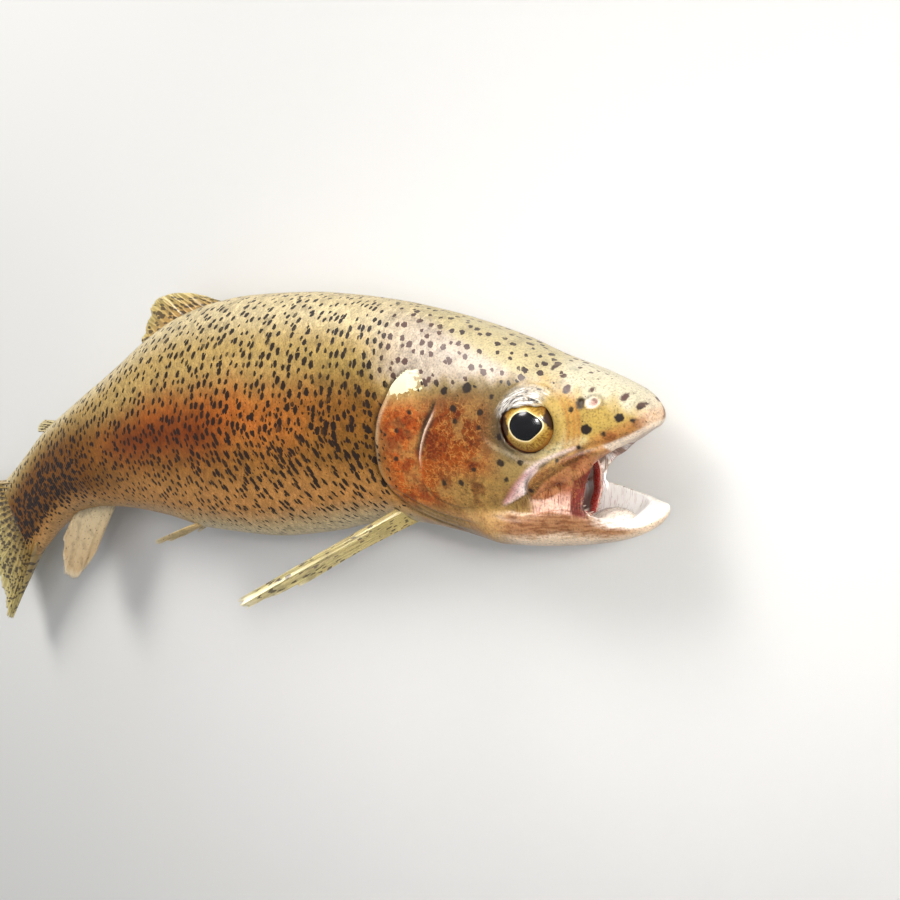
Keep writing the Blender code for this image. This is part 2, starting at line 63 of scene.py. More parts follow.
# ---- driving sizes, millimetres and radians, as the CAD has them
LENGTH = 230.0                 # standard length: snout to the end of the stem
HEAD = 0.24 * LENGTH
TAIL_DROOP = math.radians(24.6)
TAIL_TURN = math.radians(1.5)
JAW_TWIST = math.radians(13)
COAT = 0.10                    # the skin lies this far inside the CAD's flesh
EYE_CENTRE = (0.383 * HEAD, 0.011 * HEAD, 0.140 * HEAD)
EYE_RADIUS = 0.095 * HEAD
EYE_DEPTH = 0.084 * HEAD
EYE_FORWARD = math.radians(17)
EYE_SEAT = (EYE_CENTRE[0] + 0.45, EYE_CENTRE[1], EYE_CENTRE[2])
BALL_RADIUS = EYE_RADIUS + 0.35
BALL_DEPTH = EYE_DEPTH + 0.15
SIDES = ((1, "right"), (-1, "left"))


def smooth_curve(points):
    """A monotone cubic through (x, y) points, which never overshoots them."""
    x, y = np.array(points, float).T
    step = np.diff(x)
    slope = np.diff(y) / step
    tangent = np.zeros_like(x)
    tangent[0], tangent[-1] = slope[0], slope[-1]
    for k in range(1, len(x) - 1):
        if slope[k - 1] * slope[k] > 0:
            near, far = 2 * step[k] + step[k - 1], step[k] + 2 * step[k - 1]
            tangent[k] = (near + far) / (near / slope[k - 1] + far / slope[k])

    def curve(at):
        at = np.clip(at, x[0], x[-1])
        k = np.clip(np.searchsorted(x, at) - 1, 0, len(x) - 2)
        t = (at - x[k]) / step[k]
        rise = y[k] * (1 + 2 * t) * (1 - t) ** 2 + y[k + 1] * t * t * (3 - 2 * t)
        return rise + step[k] * (tangent[k] * t * (1 - t) ** 2 - tangent[k + 1] * t * t * (1 - t))

    return curve


def smooth_path(points, knots=None):
    """A smooth line through points, read from 0 at its start to 1 at its end, or by its knots."""
    points = np.array(points, float)
    knots = np.linspace(0, 1, len(points)) if knots is None else knots
    curves = [smooth_curve(list(zip(knots, column))) for column in points.T]
    return lambda at: np.stack([curve(at) for curve in curves], -1)


# Body profiles, as the CAD has them: fractions of the standard length.
BACK = smooth_curve([
    (-.004, .002), (0, .0070), (.011, .0200), (.028, .0292), (.049, .0385), (.085, .0522), (.122, .0690),
    (.161, .0835), (.204, .0965), (.248, .1075), (.31, .1185), (.36, .1245), (.45, .1280), (.49, .1255),
    (.545, .1170), (.60, .1010), (.65, .0850), (.70, .0740), (.79, .0645), (.85, .0630), (.90, .0590),
    (.95, .0555), (1.02, .0535)])
BELLY = smooth_curve([
    (.10, -.060), (.19, -.0965), (.227, -.0930), (.265, -.0915), (.31, -.0975), (.37, -.109),
    (.455, -.1175), (.545, -.1145), (.63, -.098), (.70, -.0820), (.757, -.0685), (.805, -.057),
    (.86, -.0495), (.915, -.0505), (.965, -.056), (1.02, -.0600)])
LIP_AND_THROAT = smooth_curve([
    (-.004, -.002), (0, -.0060), (.009, -.0105), (.020, -.0165), (.037, -.0265), (.050, -.0355),
    (.0775, -.0535), (.0915, -.0620), (.1065, -.0690), (.122, -.082), (.139, -.0965), (.157, -.1035),
    (.19, -.0985), (.227, -.0935), (.265, -.0915)])
HALF_WIDTH = smooth_curve([
    (-.004, .003), (0, .0105), (.009, .0200), (.02, .0262), (.05, .0365), (.087, .0443), (.15, .0542),
    (.20, .0582), (.25, .0600), (.35, .0630), (.45, .0630), (.55, .0578), (.65, .0491), (.75, .0378),
    (.85, .0260), (.92, .0190), (.97, .0140), (1.02, .0105)])
WIDEST_AT = smooth_curve([
    (0, .002), (.05, .002), (.10, -.006), (.2, -.010), (.3, -.002), (.5, .004), (.7, .006), (1, 0)])
UPPER_ROUNDNESS = smooth_curve([(0, 2.2), (.05, 2.3), (.12, 2.35), (.25, 2.2), (.5, 2.1), (1, 2.2)])
LIP_ROUNDNESS = smooth_curve([(0, 2.4), (.03, 3.2), (.09, 3.4), (.14, 2.4), (.25, 2.1), (1, 2.1)])

# The open lower jaw and the hollow of the mouth: fractions of the head length.
JAW_RIM = smooth_curve([
    (0, -.306), (.02, -.297), (.06, -.300), (.13, -.287), (.19, -.272), (.24, -.257), (.30, -.245),
    (.35, -.252), (.40, -.272), (.47, -.285), (.62, -.270)])
JAW_UNDERSIDE = smooth_curve([
    (0, -.318), (.03, -.345), (.076, -.368), (.204, -.404), (.34, -.425), (.477, -.432), (.62, -.434)])
JAW_HALF_WIDTH = smooth_curve([
    (0, .018), (.02, .052), (.05, .080), (.14, .122), (.27, .152), (.45, .182), (.62, .204)])
JAW_JOINT = 0.58
JAW_PIVOT = -0.33 * HEAD
JAW_WALL = 0.024 * HEAD
JAW_FLOOR = 0.050 * HEAD
PALATE = smooth_curve([(-.03, -.03), (.03, -.052), (.10, -.075), (.20, -.098), (.40, -.125), (.68, -.17)])
MOUTH_FLOOR = smooth_curve([
    (-.03, -.20), (.10, -.30), (.30, -.345), (.50, -.365), (.60, -.362), (.68, -.33)])
MOUTH_HALF_WIDTH = smooth_curve([
    (-.03, .018), (.03, .050), (.10, .092), (.20, .124), (.32, .150), (.45, .158), (.56, .135), (.68, .070)])

# The skin at the corners of the mouth, in millimetres.
WEB_FRONT = smooth_curve([(-19, 12.6), (-16.5, 13.4), (-14, 14.0), (-11, 13.4), (-8, 11.8), (-5, 10.6)])
WEB_HALF_WIDTH = smooth_curve([(8, 5.6), (12, 6.8), (16, 7.6), (20, 8.1), (26, 8.2), (32, 8.0)])
WEB_BACK, WEB_TOP, WEB_LOW = 27.0, -5.0, -18.5

# Lines and outlines of the head's side, in (u, v) millimetres.
GILL_EDGE = [
    (43.0, 11.6), (46.0, 11.9), (49.5, 10.2), (52.0, 6.8), (54.3, 3.0), (55.6, -2.0), (55.9, -7.0),
    (54.8, -11.0), (52.4, -14.2), (48.6, -17.0), (43.0, -19.4), (36.0, -20.6)]
PREOPERCLE = [
    (39.2, 6.6), (41.0, 3.3), (42.9, 0.5), (44.2, -2.2), (45.1, -5.3), (45.2, -9.5), (43.0, -13.0),
    (38.0, -15.0), (33.0, -15.6)]
INTEROPERCLE = [(56.0, -9.2), (51.5, -12.2), (47.5, -14.6), (42.0, -16.9), (36.0, -17.9), (30.0, -17.6)]
MAXILLA = [
    (8.4, -3.6), (12.0, -4.5), (15.8, -5.7), (19.0, -7.0), (21.7, -8.8), (23.3, -11.0), (23.5, -12.7),
    (22.4, -13.5), (20.0, -13.2), (18.0, -12.3), (14.3, -9.9), (12.0, -8.5), (9.4, -6.3), (7.7, -4.7)]
MAXILLA_GROOVE = [(12.6, -6.0), (16.5, -8.0), (20.0, -10.2), (22.4, -12.4)]
CHEEK_FOLD = [(19.6, -6.3), (22.6, -8.0), (25.4, -10.4), (27.8, -13.0), (29.4, -14.4)]
LIP_CREASE = [(0.3, -0.6), (2.4, -1.7), (4.6, -2.5), (7.0, -3.3), (9.2, -3.9)]
SUBORBITAL = [(31.0, 1.0), (29.5, -1.2), (27.2, -2.9), (23.9, -4.3), (19.4, -4.6), (15.8, -3.6)]
NOSTRIL = (8.9, 4.0)
THROAT_LINES = (1.3, 2.5, 3.7)      # how far under the interopercle's edge each fold of the throat lies
EYE_CREASES = (7.4, 8.4, 9.3)       # radii of the creases in front of the eye
RELIEF_END = 62                     # the head's relief stops here


def ease(t):
    t = np.clip(t, 0, 1)
    return t * t * (3 - 2 * t)


def between(x, low, high):
    """0 below low, 1 above high, smooth in between; the other way round where high is the lower."""
    return ease((x - low) / (high - low))


def window(x, low, full_from, full_to, high):
    """1 from full_from to full_to, fading to 0 at low and at high."""
    return between(x, low, full_from) * between(x, high, full_to)


def bell(x, width):
    """1 where x is 0, falling to 0 on both sides."""
    return np.exp(-(x / width) ** 2)


# ---- the bend and the place on the floor
def spine_tables(samples=600):
    u = np.linspace(0, 1.25 * LENGTH, samples)
    at = u / LENGTH
    turn = TAIL_TURN * ease((at - 0.45) / 0.55)
    droop = TAIL_DROOP * ease((at - 0.45) / 0.5)
    back = np.stack([-np.cos(turn) * np.cos(droop), -np.sin(droop), -np.sin(turn) * np.cos(droop)], 1)
    steps = (back[1:] + back[:-1]) / 2 * np.diff(u)[:, None]
    centre = np.vstack([[0, 0, 0], np.cumsum(steps, 0)])
    side = np.stack([-np.sin(turn), 0 * turn, np.cos(turn)], 1)
    return u, centre, np.cross(side, -back), side


SPINE = spine_tables()
EYE_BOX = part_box("eye_right")
EYE_FROM_SNOUT = np.array([-EYE_CENTRE[0], EYE_CENTRE[1], EYE_CENTRE[2]]) / 1000
ORIGIN = np.array((EYE_BOX[0] + EYE_BOX[1]) / 2) - EYE_FROM_SNOUT
FLOOR_GAP = 0.00002            # what lies on the floor is pressed flat this far above it


def to_world(points):
    """Straight (u, v, w) millimetres to the row frame in metres."""
    u, v, w = np.asarray(points, float).T
    stations, *tables = SPINE
    centre, dorsal, side = (np.stack([np.interp(u, stations, column) for column in table.T], 1)
                            for table in tables)
    placed = centre + v[:, None] * dorsal + w[:, None] * side
    placed[:, 0] += np.maximum(-u, 0)
    placed = placed / 1000 + ORIGIN
    placed[:, 2] = np.maximum(placed[:, 2], FLOOR_GAP)
    return placed


# ---- distances, in millimetres, negative inside
def smooth_least(a, b, blend):
    """The lesser of two distances, rounded over a width of blend where they cross."""
    h = np.clip(0.5 + 0.5 * (b - a) / blend, 0, 1)
    return b + (a - b) * h - blend * h * (1 - h)


def smooth_most(a, b, blend):
    return -smooth_least(-a, -b, blend)


def rounded_section(rise, out, reach, half, power):
    """About how far a point is from a superellipse about (0, 0)."""
    a, b = np.abs(out) / half, np.abs(rise) / reach
    f = (a ** power + b ** power + 1e-9) ** (1 / power)
    steep = np.hypot((a / f) ** (power - 1) / half, (b / f) ** (power - 1) / reach)
    return (f - 1) / (steep + 1e-6)


def body_frame(u):
    """Top, bottom, middle height and half width of the body at a station."""
    at = u / LENGTH
    top = BACK(at) * LENGTH
    low = np.where(at < 0.248, LIP_AND_THROAT(at), BELLY(at)) * LENGTH
    middle = WIDEST_AT(at) * LENGTH
    middle = np.clip(middle, low + 0.35 * (top - low), top - 0.35 * (top - low))
    return top, low, middle, HALF_WIDTH(at) * LENGTH


def body_section(u, v):
    """Height over the body's middle, its reach on that side, its half width and its roundness."""
    top, low, middle, half = body_frame(u)
    above = v > middle
    power = np.where(above, UPPER_ROUNDNESS(u / LENGTH), LIP_ROUNDNESS(u / LENGTH))
    return v - middle, np.where(above, top - middle, middle - low), half, power


def body_distance(u, v, w):
    rise, reach, half, power = body_section(u, v)
    d = rounded_section(rise, w, reach, half, power)
    d = smooth_most(d, -u - 0.6, 1.6)
    return smooth_most(d, u - 1.008 * LENGTH, 3.0)


def untwist(u, v, w, turn=1):
    """The (v, w) that a point of the leaning jaw has before the jaw leans; turn=-1 makes it lean."""
    angle = turn * JAW_TWIST * ease(1 - u / (JAW_JOINT * HEAD))
    c, s = np.cos(angle), np.sin(angle)
    rise = v - JAW_PIVOT
    return JAW_PIVOT + rise * c + w * s, w * c - rise * s


def jaw_distance(u, v, w):
    at = u / HEAD
    v, w = untwist(u, v, w)
    rim, low = JAW_RIM(at) * HEAD, JAW_UNDERSIDE(at) * HEAD
    half = JAW_HALF_WIDTH(at) * HEAD
    middle = low + 0.62 * (rim - low)
    above = v > middle
    d = rounded_section(v - middle, w, np.where(above, rim - middle, middle - low), half,
                        np.where(above, 4.0, 2.2))
    sunk = 3.6 * between(at, 0.57, 0.76)
    return np.maximum(smooth_most(d + sunk, -u + 0.1, 1.4), u - 0.80 * HEAD)


def trough_distance(u, v, w):
    """The hollow between the two sides of the lower jaw."""
    at = u / HEAD
    v, w = untwist(u, v, w)
    half = JAW_HALF_WIDTH(at) * HEAD - JAW_WALL * (1.0 + 0.5 * between(at, 0.25, 0.45))
    half = np.maximum(half, 0.3)
    top = (JAW_RIM(at) + 0.01) * HEAD
    fade = ease((at - 0.03) / 0.13)
    floor = top + (JAW_UNDERSIDE(at) * HEAD + JAW_FLOOR - top) * fade
    d = rounded_section(v - top, w, np.maximum(top - floor, 0.3), half, 2.6)
    d = np.where(v > top, np.abs(w) - half, d)
    d = smooth_most(d, v - top - 4.0, 1.0)
    return np.maximum(d, -u + 0.035 * HEAD)


def cavity_distance(u, v, w):
    """The space inside the upper jaw, the cheeks and the throat."""
    at = u / HEAD
    high, low = PALATE(at) * HEAD, MOUTH_FLOOR(at) * HEAD
    d = rounded_section(v - (high + low) / 2, w, (high - low) / 2, MOUTH_HALF_WIDTH(at) * HEAD, 3.0)
    return np.maximum(np.maximum(d, -u - 1.5), u - 0.66 * HEAD)


def web_distance(u, v, w):
    """The thin skin that closes each corner of the mouth, with its upright folds."""
    wrinkled = between(v, -14.5, -11.5)
    folds = wrinkled * (0.16 * np.sin(2.6 * u + 0.9 * v) + 0.08 * np.sin(5.3 * u - 0.8 * v))
    sunk = 0.9 * np.sin(np.clip((v + 15.5) / 6.5, 0, 1) * math.pi) * between(u, 28, 18)
    _, jaw_w = untwist(u, v, w)
    lean = between(v, -9.0, -15.0)
    side = np.abs(w * (1 - lean) + jaw_w * lean)
    sheet = np.abs(side - (WEB_HALF_WIDTH(u) - sunk + folds)) - 0.36
    d = smooth_most(sheet, WEB_FRONT(v) + np.where(w > 0, -0.9, 2.6) - u, 0.5)
    for beyond in (u - WEB_BACK, v - WEB_TOP, WEB_LOW - v):
        d = np.maximum(d, beyond)
    return d


def eye_frame(u, v, w):
    """A point in the eye's own frame, forward, up and out, for the side that it is on."""
    out = np.abs(w) - EYE_SEAT[2]
    ahead = EYE_SEAT[0] - u
    c, s = math.cos(EYE_FORWARD), math.sin(EYE_FORWARD)
    return ahead * c - out * s, v - EYE_SEAT[1], out * c + ahead * s


def socket_distance(u, v, w, grow=0.12):
    ahead, up, out = eye_frame(u, v, w)
    radius, depth = BALL_RADIUS + grow, BALL_DEPTH + grow
    f = np.sqrt((ahead / radius) ** 2 + (up / radius) ** 2 + (out / depth) ** 2 + 1e-9)
    return (f - 1) * radius


def opening_distance(u, v, w):
    """The round opening of the skin over each eyeball."""
    ahead, up, out = eye_frame(u, v, w)
    rim = (np.hypot((ahead + 0.30) / 5.0, (up - 0.10) / 4.5) - 1) * 4.7
    return np.maximum(rim, 1.0 - out)


def lid_distance(u, v, w):
    """The fold of clear skin that hoods the top of each eye."""
    ahead, up, _ = eye_frame(u, v, w)
    shell = np.abs(socket_distance(u, v, w, 0.0) - 0.36) - 0.26
    edge = 3.75 - 0.05 * (ahead - 0.3) ** 2 + 0.10 * np.sin(2.2 * ahead) - up
    return smooth_most(smooth_most(shell, edge, 0.4), 4 - np.abs(w), 0.2)


# ---- relief of the head's side: a height map over (u, v), the same on both sides
def path_points(path, per_span=8):
    """Points along a smooth line through the given ones."""
    knots = np.r_[0, np.cumsum(np.linalg.norm(np.diff(path, axis=0), axis=1))]
    return smooth_path(path, knots)(np.linspace(0, knots[-1], per_span * (len(path) - 1) + 1))


def nearest_on(u, v, a, b):
    """How far points are from a straight piece of line, and how far along it the nearest spot is."""
    (ax, ay), (bx, by) = a, b
    dx, dy = bx - ax, by - ay
    t = np.clip(((u - ax) * dx + (v - ay) * dy) / (dx * dx + dy * dy + 1e-12), 0, 1)
    return np.hypot(u - ax - t * dx, v - ay - t * dy), t


def path_distance(u, v, path):
    """Distance from a line, positive to the left of its run, and how far along it the nearest
    spot is, from 0 to 1."""
    line = path_points(path)
    best, side, along = (np.full(np.shape(u), start) for start in (1e9, 1.0, 0.0))
    count = len(line) - 1
    for k, (a, b) in enumerate(zip(line[:-1], line[1:])):
        d, t = nearest_on(u, v, a, b)
        near = d < best
        best = np.where(near, d, best)
        side = np.where(near, np.sign((b - a)[0] * (v - a[1]) - (b - a)[1] * (u - a[0])), side)
        along = np.where(near, (k + t) / count, along)
    return best * side, along


def inside_outline(u, v, outline):
    """Signed distance from a closed outline, positive inside."""
    loop = path_points(outline + outline[:1], 5)
    best = np.full(np.shape(u), 1e9)
    inside = np.zeros(np.shape(u), bool)
    for a, b in zip(loop[:-1], loop[1:]):
        best = np.minimum(best, nearest_on(u, v, a, b)[0])
        dx, dy = b - a
        inside ^= ((a[1] > v) != (b[1] > v)) & (u < a[0] + (v - a[1]) / (dy + 1e-12) * dx)
    return np.where(inside, best, -best)


def bilinear(grid, x, y):
    """A grid's value between its points, held at its edges beyond them."""
    x, y = (np.clip(at, 0, size - 1.001) for at, size in zip((x, y), grid.shape))
    i, j = x.astype(int), y.astype(int)
    x, y = x - i, y - j
    if grid.ndim == 3:
        x, y = x[:, None], y[:, None]
    return ((grid[i, j] * (1 - x) + grid[i + 1, j] * x) * (1 - y)
            + (grid[i, j + 1] * (1 - x) + grid[i + 1, j + 1] * x) * y)


MAP_STEP = 0.2
MAP_U = np.arange(-3, 66, MAP_STEP)
MAP_V = np.arange(-28, 30, MAP_STEP)


def head_maps():
    """Height and named masks over the head's side, as grids."""
    u, v = np.meshgrid(MAP_U, MAP_V, indexing="ij")

    def crease(path, fade_in=0.1, full_to=0.8, end=1.0):
        """Signed distance from a line, a mask that fades at its two ends, and the place along it."""
        distance, along = path_distance(u, v, path)
        return distance, window(along, 0.0, fade_in, full_to, end), along

    gill, ends, _ = crease(GILL_EDGE)
    lift = 0.55 * window(gill, -11.0, -0.6, -0.45, 0.05)
    height = np.where(gill < 0, lift, -0.55 * bell(gill, 1.5) - 0.30 * bell(gill, 0.45)) * ends

    plate, fade, along = crease(PREOPERCLE, 0.12, 0.55)
    height += fade * np.where(plate < 0, 0.30 * between(plate, -5.0, -0.3), -0.42 * bell(plate, 0.55))
    plate_fade = window(along, 0.0, 0.06, 0.30, 0.62)

    lower, fade, _ = crease(INTEROPERCLE, 0.15, 0.75)
    height += fade * np.where(lower < 0, 0.18 * between(lower, -3.0, -0.2), -0.28 * bell(lower, 0.5))
    for rank in THROAT_LINES:
        height -= 0.12 * bell(lower - rank, 0.30) * fade * (lower >= 0)

    maxilla = inside_outline(u, v, MAXILLA)
    height += 0.62 * between(maxilla, -0.10, 0.75) - 0.25 * bell(maxilla + 0.45, 0.4)
    groove, _, _ = crease(MAXILLA_GROOVE)
    height -= 0.22 * bell(groove, 0.35) * between(maxilla, 0.0, 0.6)

    fold, fold_fade, _ = crease(CHEEK_FOLD, 0.2, 0.85, 1.02)
    height += (0.30 * bell(fold - 0.3, 0.7) - 0.45 * bell(-fold - 0.9, 0.8)) * fold_fade
    lip, fade, _ = crease(LIP_CREASE, 0.15, 0.9, 1.02)
    height -= 0.16 * bell(lip, 0.35) * fade
    ring, fade, _ = crease(SUBORBITAL, 0.25)
    height += (0.16 * bell(ring - 0.8, 0.5) - 0.20 * bell(ring, 0.4)) * fade

    near_eye = np.hypot(u - EYE_CENTRE[0] + 0.5, v - EYE_CENTRE[1])
    up_angle = np.arctan2(v - EYE_CENTRE[1], EYE_CENTRE[0] - u)
    over = np.clip(np.sin(up_angle), 0, 1)
    front = np.clip(np.cos(up_angle), 0, 1)
    height += 0.34 * bell(near_eye - 5.5, 0.75) + 0.55 * over * bell(near_eye - 5.6, 1.2)
    for radius, depth in ((6.7, 0.20), (7.6, 0.14)):
        height -= depth * over ** 0.5 * bell(near_eye - radius, 0.28)
    for radius, depth in zip(EYE_CREASES, (0.20, 0.16, 0.10)):
        height -= depth * front ** 3 * bell(near_eye - radius, 0.30)

    nose = np.hypot((u - NOSTRIL[0]) / 1.25, v - NOSTRIL[1]) * 1.22
    rear_nose = np.hypot((u - NOSTRIL[0] - 2.1), (v - NOSTRIL[1] - 0.1) / 1.3)
    height += 0.30 * bell(nose - 1.0, 0.38) - 0.9 * between(nose, 0.85, 0.45)
    height += 0.12 * bell(rear_nose - 0.8, 0.3) - 0.5 * between(rear_nose, 0.65, 0.35)
    return dict(gill=gill, gill_ends=ends, preopercle=-plate, preopercle_fade=plate_fade, throat=lower,
                maxilla=maxilla, maxilla_lower=-groove, fold=-fold, fold_fade=fold_fade, suborbital=ring,
                near_eye=near_eye, up_angle=up_angle, nostril=nose, rear_nostril=rear_nose, height=height)


MAPS = head_maps()


def read_map(name, u, v):
    return bilinear(MAPS[name], (u - MAP_U[0]) / MAP_STEP, (v - MAP_V[0]) / MAP_STEP)


def flesh_distance(u, v, w):
    """The outside of head, jaw and trunk, before the mouth is hollowed."""
    flank = between(np.abs(w) / body_frame(u)[3], 0.15, 0.45)
    return body_distance(u, v, w) + COAT - np.where(u < RELIEF_END, read_map("height", u, v) * flank, 0)


def skin_distance(u, v, w):
    """The skin, with its mouth, jaw, mouth corners and eye sockets."""
    d = flesh_distance(u, v, w)
    front = u < 0.75 * HEAD
    if np.any(front):
        wall = 1.0 - 4.0 * between(u, 24, 19)
        hollow = smooth_most(d, -np.maximum(cavity_distance(u, v, w), d + wall), 0.5)
        jaw = smooth_most(jaw_distance(u, v, w) + COAT, -trough_distance(u, v, w), 0.5)
        joined = smooth_least(hollow, jaw, 0.4 + 2.2 * between(u, 22, 34))
        d = np.where(front, smooth_least(joined, web_distance(u, v, w), 0.9), hollow)
    d = smooth_most(d, -socket_distance(u, v, w), 0.25)
    d = smooth_most(d, -opening_distance(u, v, w), 0.7)
    return smooth_least(d, lid_distance(u, v, w), 0.3)


# ---- the skin's mesh
STEPS = np.eye(3, dtype=int)   # one step along each axis of the grid


def fill_pinches(field):
    """Fills in each grid face that is inside at two opposite corners only, where the surface would pinch."""
    pinched = True
    while pinched:
        pinched = False
        for pair in ((0, 1), (0, 2), (1, 2)):
            grid = np.moveaxis(field, pair, (0, 1))
            inside = grid < 0
            a, b, c, d = inside[:-1, :-1], inside[1:, :-1], inside[:-1, 1:], inside[1:, 1:]
            faces = np.argwhere((a == d) & (b == c) & (a != b))
            for i, j in np.ndindex(2, 2):
                corners = tuple((faces + (i, j, 0)).T)
                grid[corners] = np.minimum(grid[corners], -1e-3)
            pinched = pinched or len(faces) > 0


def surface_net(field, axes):
    """Vertices and quads of the zero surface of a grid of values."""
    inside = field < 0
    shape = [n - 1 for n in field.shape]
    count = sum(inside[tuple(slice(k, k + n) for k, n in zip(corner, shape))].astype(np.int8)
                for corner in np.ndindex(2, 2, 2))
    cells = np.argwhere((count > 0) & (count < 8))
    index = np.full(shape, -1, np.int64)
    index[tuple(cells.T)] = np.arange(len(cells))
    total, crossings = np.zeros((len(cells), 3)), np.zeros(len(cells))
    quads = []
    for axis in range(3):
        one, two = (axis + 1) % 3, (axis + 2) % 3
        for a, b in np.ndindex(2, 2):
            start = cells + a * STEPS[one] + b * STEPS[two]
            end = start + STEPS[axis]
            low, high = field[tuple(start.T)], field[tuple(end.T)]
            crossed = (low < 0) != (high < 0)
            t = np.where(crossed, low / np.where(crossed, low - high, 1), 0)
            point = np.stack([axes[k][start[:, k]] for k in range(3)], 1)
            point[:, axis] += t * (axes[axis][end[:, axis]] - axes[axis][start[:, axis]])
            total += point * crossed[:, None]
            crossings += crossed
        span = [slice(1, -1)] * 3
        low, high = (inside[tuple(span[:axis] + [along] + span[axis + 1:])]
                     for along in (slice(0, -1), slice(1, None)))
        at = np.argwhere(low != high)
        flip = low[tuple(at.T)]
        at += STEPS[one] + STEPS[two]
        quad = np.stack([index[tuple((at - a * STEPS[one] - b * STEPS[two]).T)]
                         for a, b in ((1, 1), (0, 1), (0, 0), (1, 0))], 1)
        quad[flip] = quad[flip][:, ::-1]
        quads.append(quad)
    return total / crossings[:, None], np.vstack(quads)


def settle(verts, quads, rounds=3):
    """Even out the net and carry its points onto the true surface."""
    step = 0.02
    edges = np.vstack([quads[:, [k, (k + 1) % 4]] for k in range(4)])
    for turn in range(rounds):
        if turn < rounds - 1:
            total, count = np.zeros_like(verts), np.zeros(len(verts))
            for here, there in (edges.T, edges.T[::-1]):
                np.add.at(total, here, verts[there])
                np.add.at(count, here, 1)
            verts = 0.5 * verts + 0.5 * total / count[:, None]
        value = skin_distance(*verts.T)
        slope = np.stack([(skin_distance(*(verts + step * way).T) - value) / step for way in STEPS], 1)
        move = -value[:, None] * slope / (np.sum(slope ** 2, 1)[:, None] + 0.05)
        length = np.linalg.norm(move, axis=1)[:, None]
        verts = verts + move * np.minimum(1, 0.35 / (length + 1e-9))
    return verts


def largest_piece(verts, quads):
    """Only the faces of the biggest connected piece."""
    label = np.arange(len(verts))
    edges = np.vstack([quads[:, [k, k + 1]] for k in range(3)])
    while True:
        low = np.minimum(label[edges[:, 0]], label[edges[:, 1]])
        fresh = label.copy()
        for end in edges.T:
            np.minimum.at(fresh, end, low)
        fresh = fresh[fresh]
        if np.array_equal(fresh, label):
            break
        label = fresh
    quads = quads[label[quads[:, 0]] == np.bincount(label).argmax()]
    used, back = np.unique(quads, return_inverse=True)
    return verts[used], back.reshape(quads.shape)


def grid_axis(start, end, coarse_from, fine, coarse):
    """Even fine steps, which grow to coarse ones beyond a point."""
    points = [start]
    while points[-1] < end:
        share = min(max((points[-1] - coarse_from) / 14, 0), 1)
        points.append(points[-1] + fine + (coarse - fine) * share)
    return np.array(points)


FINE = 0.36     # the grid's step over the head, in millimetres
SLAB = 16                      # grid rows worked out at a time


def build_skin():
    axes = [grid_axis(-1.6, 1.02 * LENGTH, 56, FINE, 1.25), np.arange(-29.5, 31.5, FINE * 1.02),
            np.arange(-15.4, 15.6, FINE * 1.02)]
    field = np.empty([len(axis) for axis in axes], np.float32)
    for start in range(0, len(axes[0]), SLAB):
        rows = slice(start, start + SLAB)
        field[rows] = skin_distance(*np.meshgrid(axes[0][rows], *axes[1:], indexing="ij"))
    fill_pinches(field)
    verts, quads = largest_piece(*surface_net(field, axes))
    return settle(verts, quads), quads


def outwardness(verts, quads):
    """How far the surface at each vertex faces away from the body's middle plane, from -1 to 1."""
    a, b, c, d = (verts[quads[:, k]] for k in range(4))
    normal = np.cross(d - b, c - a)
    total = np.zeros_like(verts)
    for k in range(4):
        np.add.at(total, quads[:, k], normal)
    total /= np.linalg.norm(total, axis=1)[:, None] + 1e-12
    return total[:, 2] * np.sign(verts[:, 2])


# ---- meshes
ATTRIBUTES = {1: ("FLOAT", "value"), 3: ("FLOAT_VECTOR", "vector"), 4: ("FLOAT_COLOR", "color")}


def add_mesh(name, verts, faces, material, attributes, uv=None):
    """verts are straight millimetres; attributes are values for each vertex, by name."""
    mesh = bpy.data.meshes.new(name)
    mesh.from_pydata(to_world(verts).tolist(), [], faces.tolist() if hasattr(faces, "tolist") else faces)
    mesh.update()
    for label, values in attributes.items():
        kind, key = ATTRIBUTES[1 if values.ndim == 1 else values.shape[1]]
        layer = mesh.attributes.new(label, kind, "POINT")
        layer.data.foreach_set(key, np.ascontiguousarray(values, np.float32).ravel())
    mesh.shade_smooth()
    if uv is not None:
        layer = mesh.uv_layers.new(name="OFBake")
        loops = np.zeros(len(mesh.loops), np.int32)
        mesh.loops.foreach_get("vertex_index", loops)
        layer.data.foreach_set("uv", np.ascontiguousarray(uv[loops], np.float32).ravel())
    mesh.materials.append(material)
    thing = bpy.data.objects.new(name, mesh)
    bpy.context.scene.collection.objects.link(thing)
    return thing


def unit(vectors):
    return vectors / (np.linalg.norm(vectors, axis=-1, keepdims=True) + 1e-12)


def tube_faces(rings, sides):
    """Faces round a row of rings, each end closed by a fan to one more point."""
    faces, last = [], (rings - 1) * sides
    for j in range(sides):
        n = (j + 1) % sides
        faces += [[k + j, k + n, k + n + sides, k + j + sides] for k in range(0, last, sides)]
        faces += [[n, j, last + sides], [last + j, last + n, last + sides + 1]]
    return faces


# ---- where a point lies on the body's outside, and what colours it has there
STATIONS = np.arange(0, 1.04 * LENGTH)
TURNS = np.linspace(math.pi / 2, -math.pi / 2, 129)
MIDDLE_TURN = len(TURNS) // 2


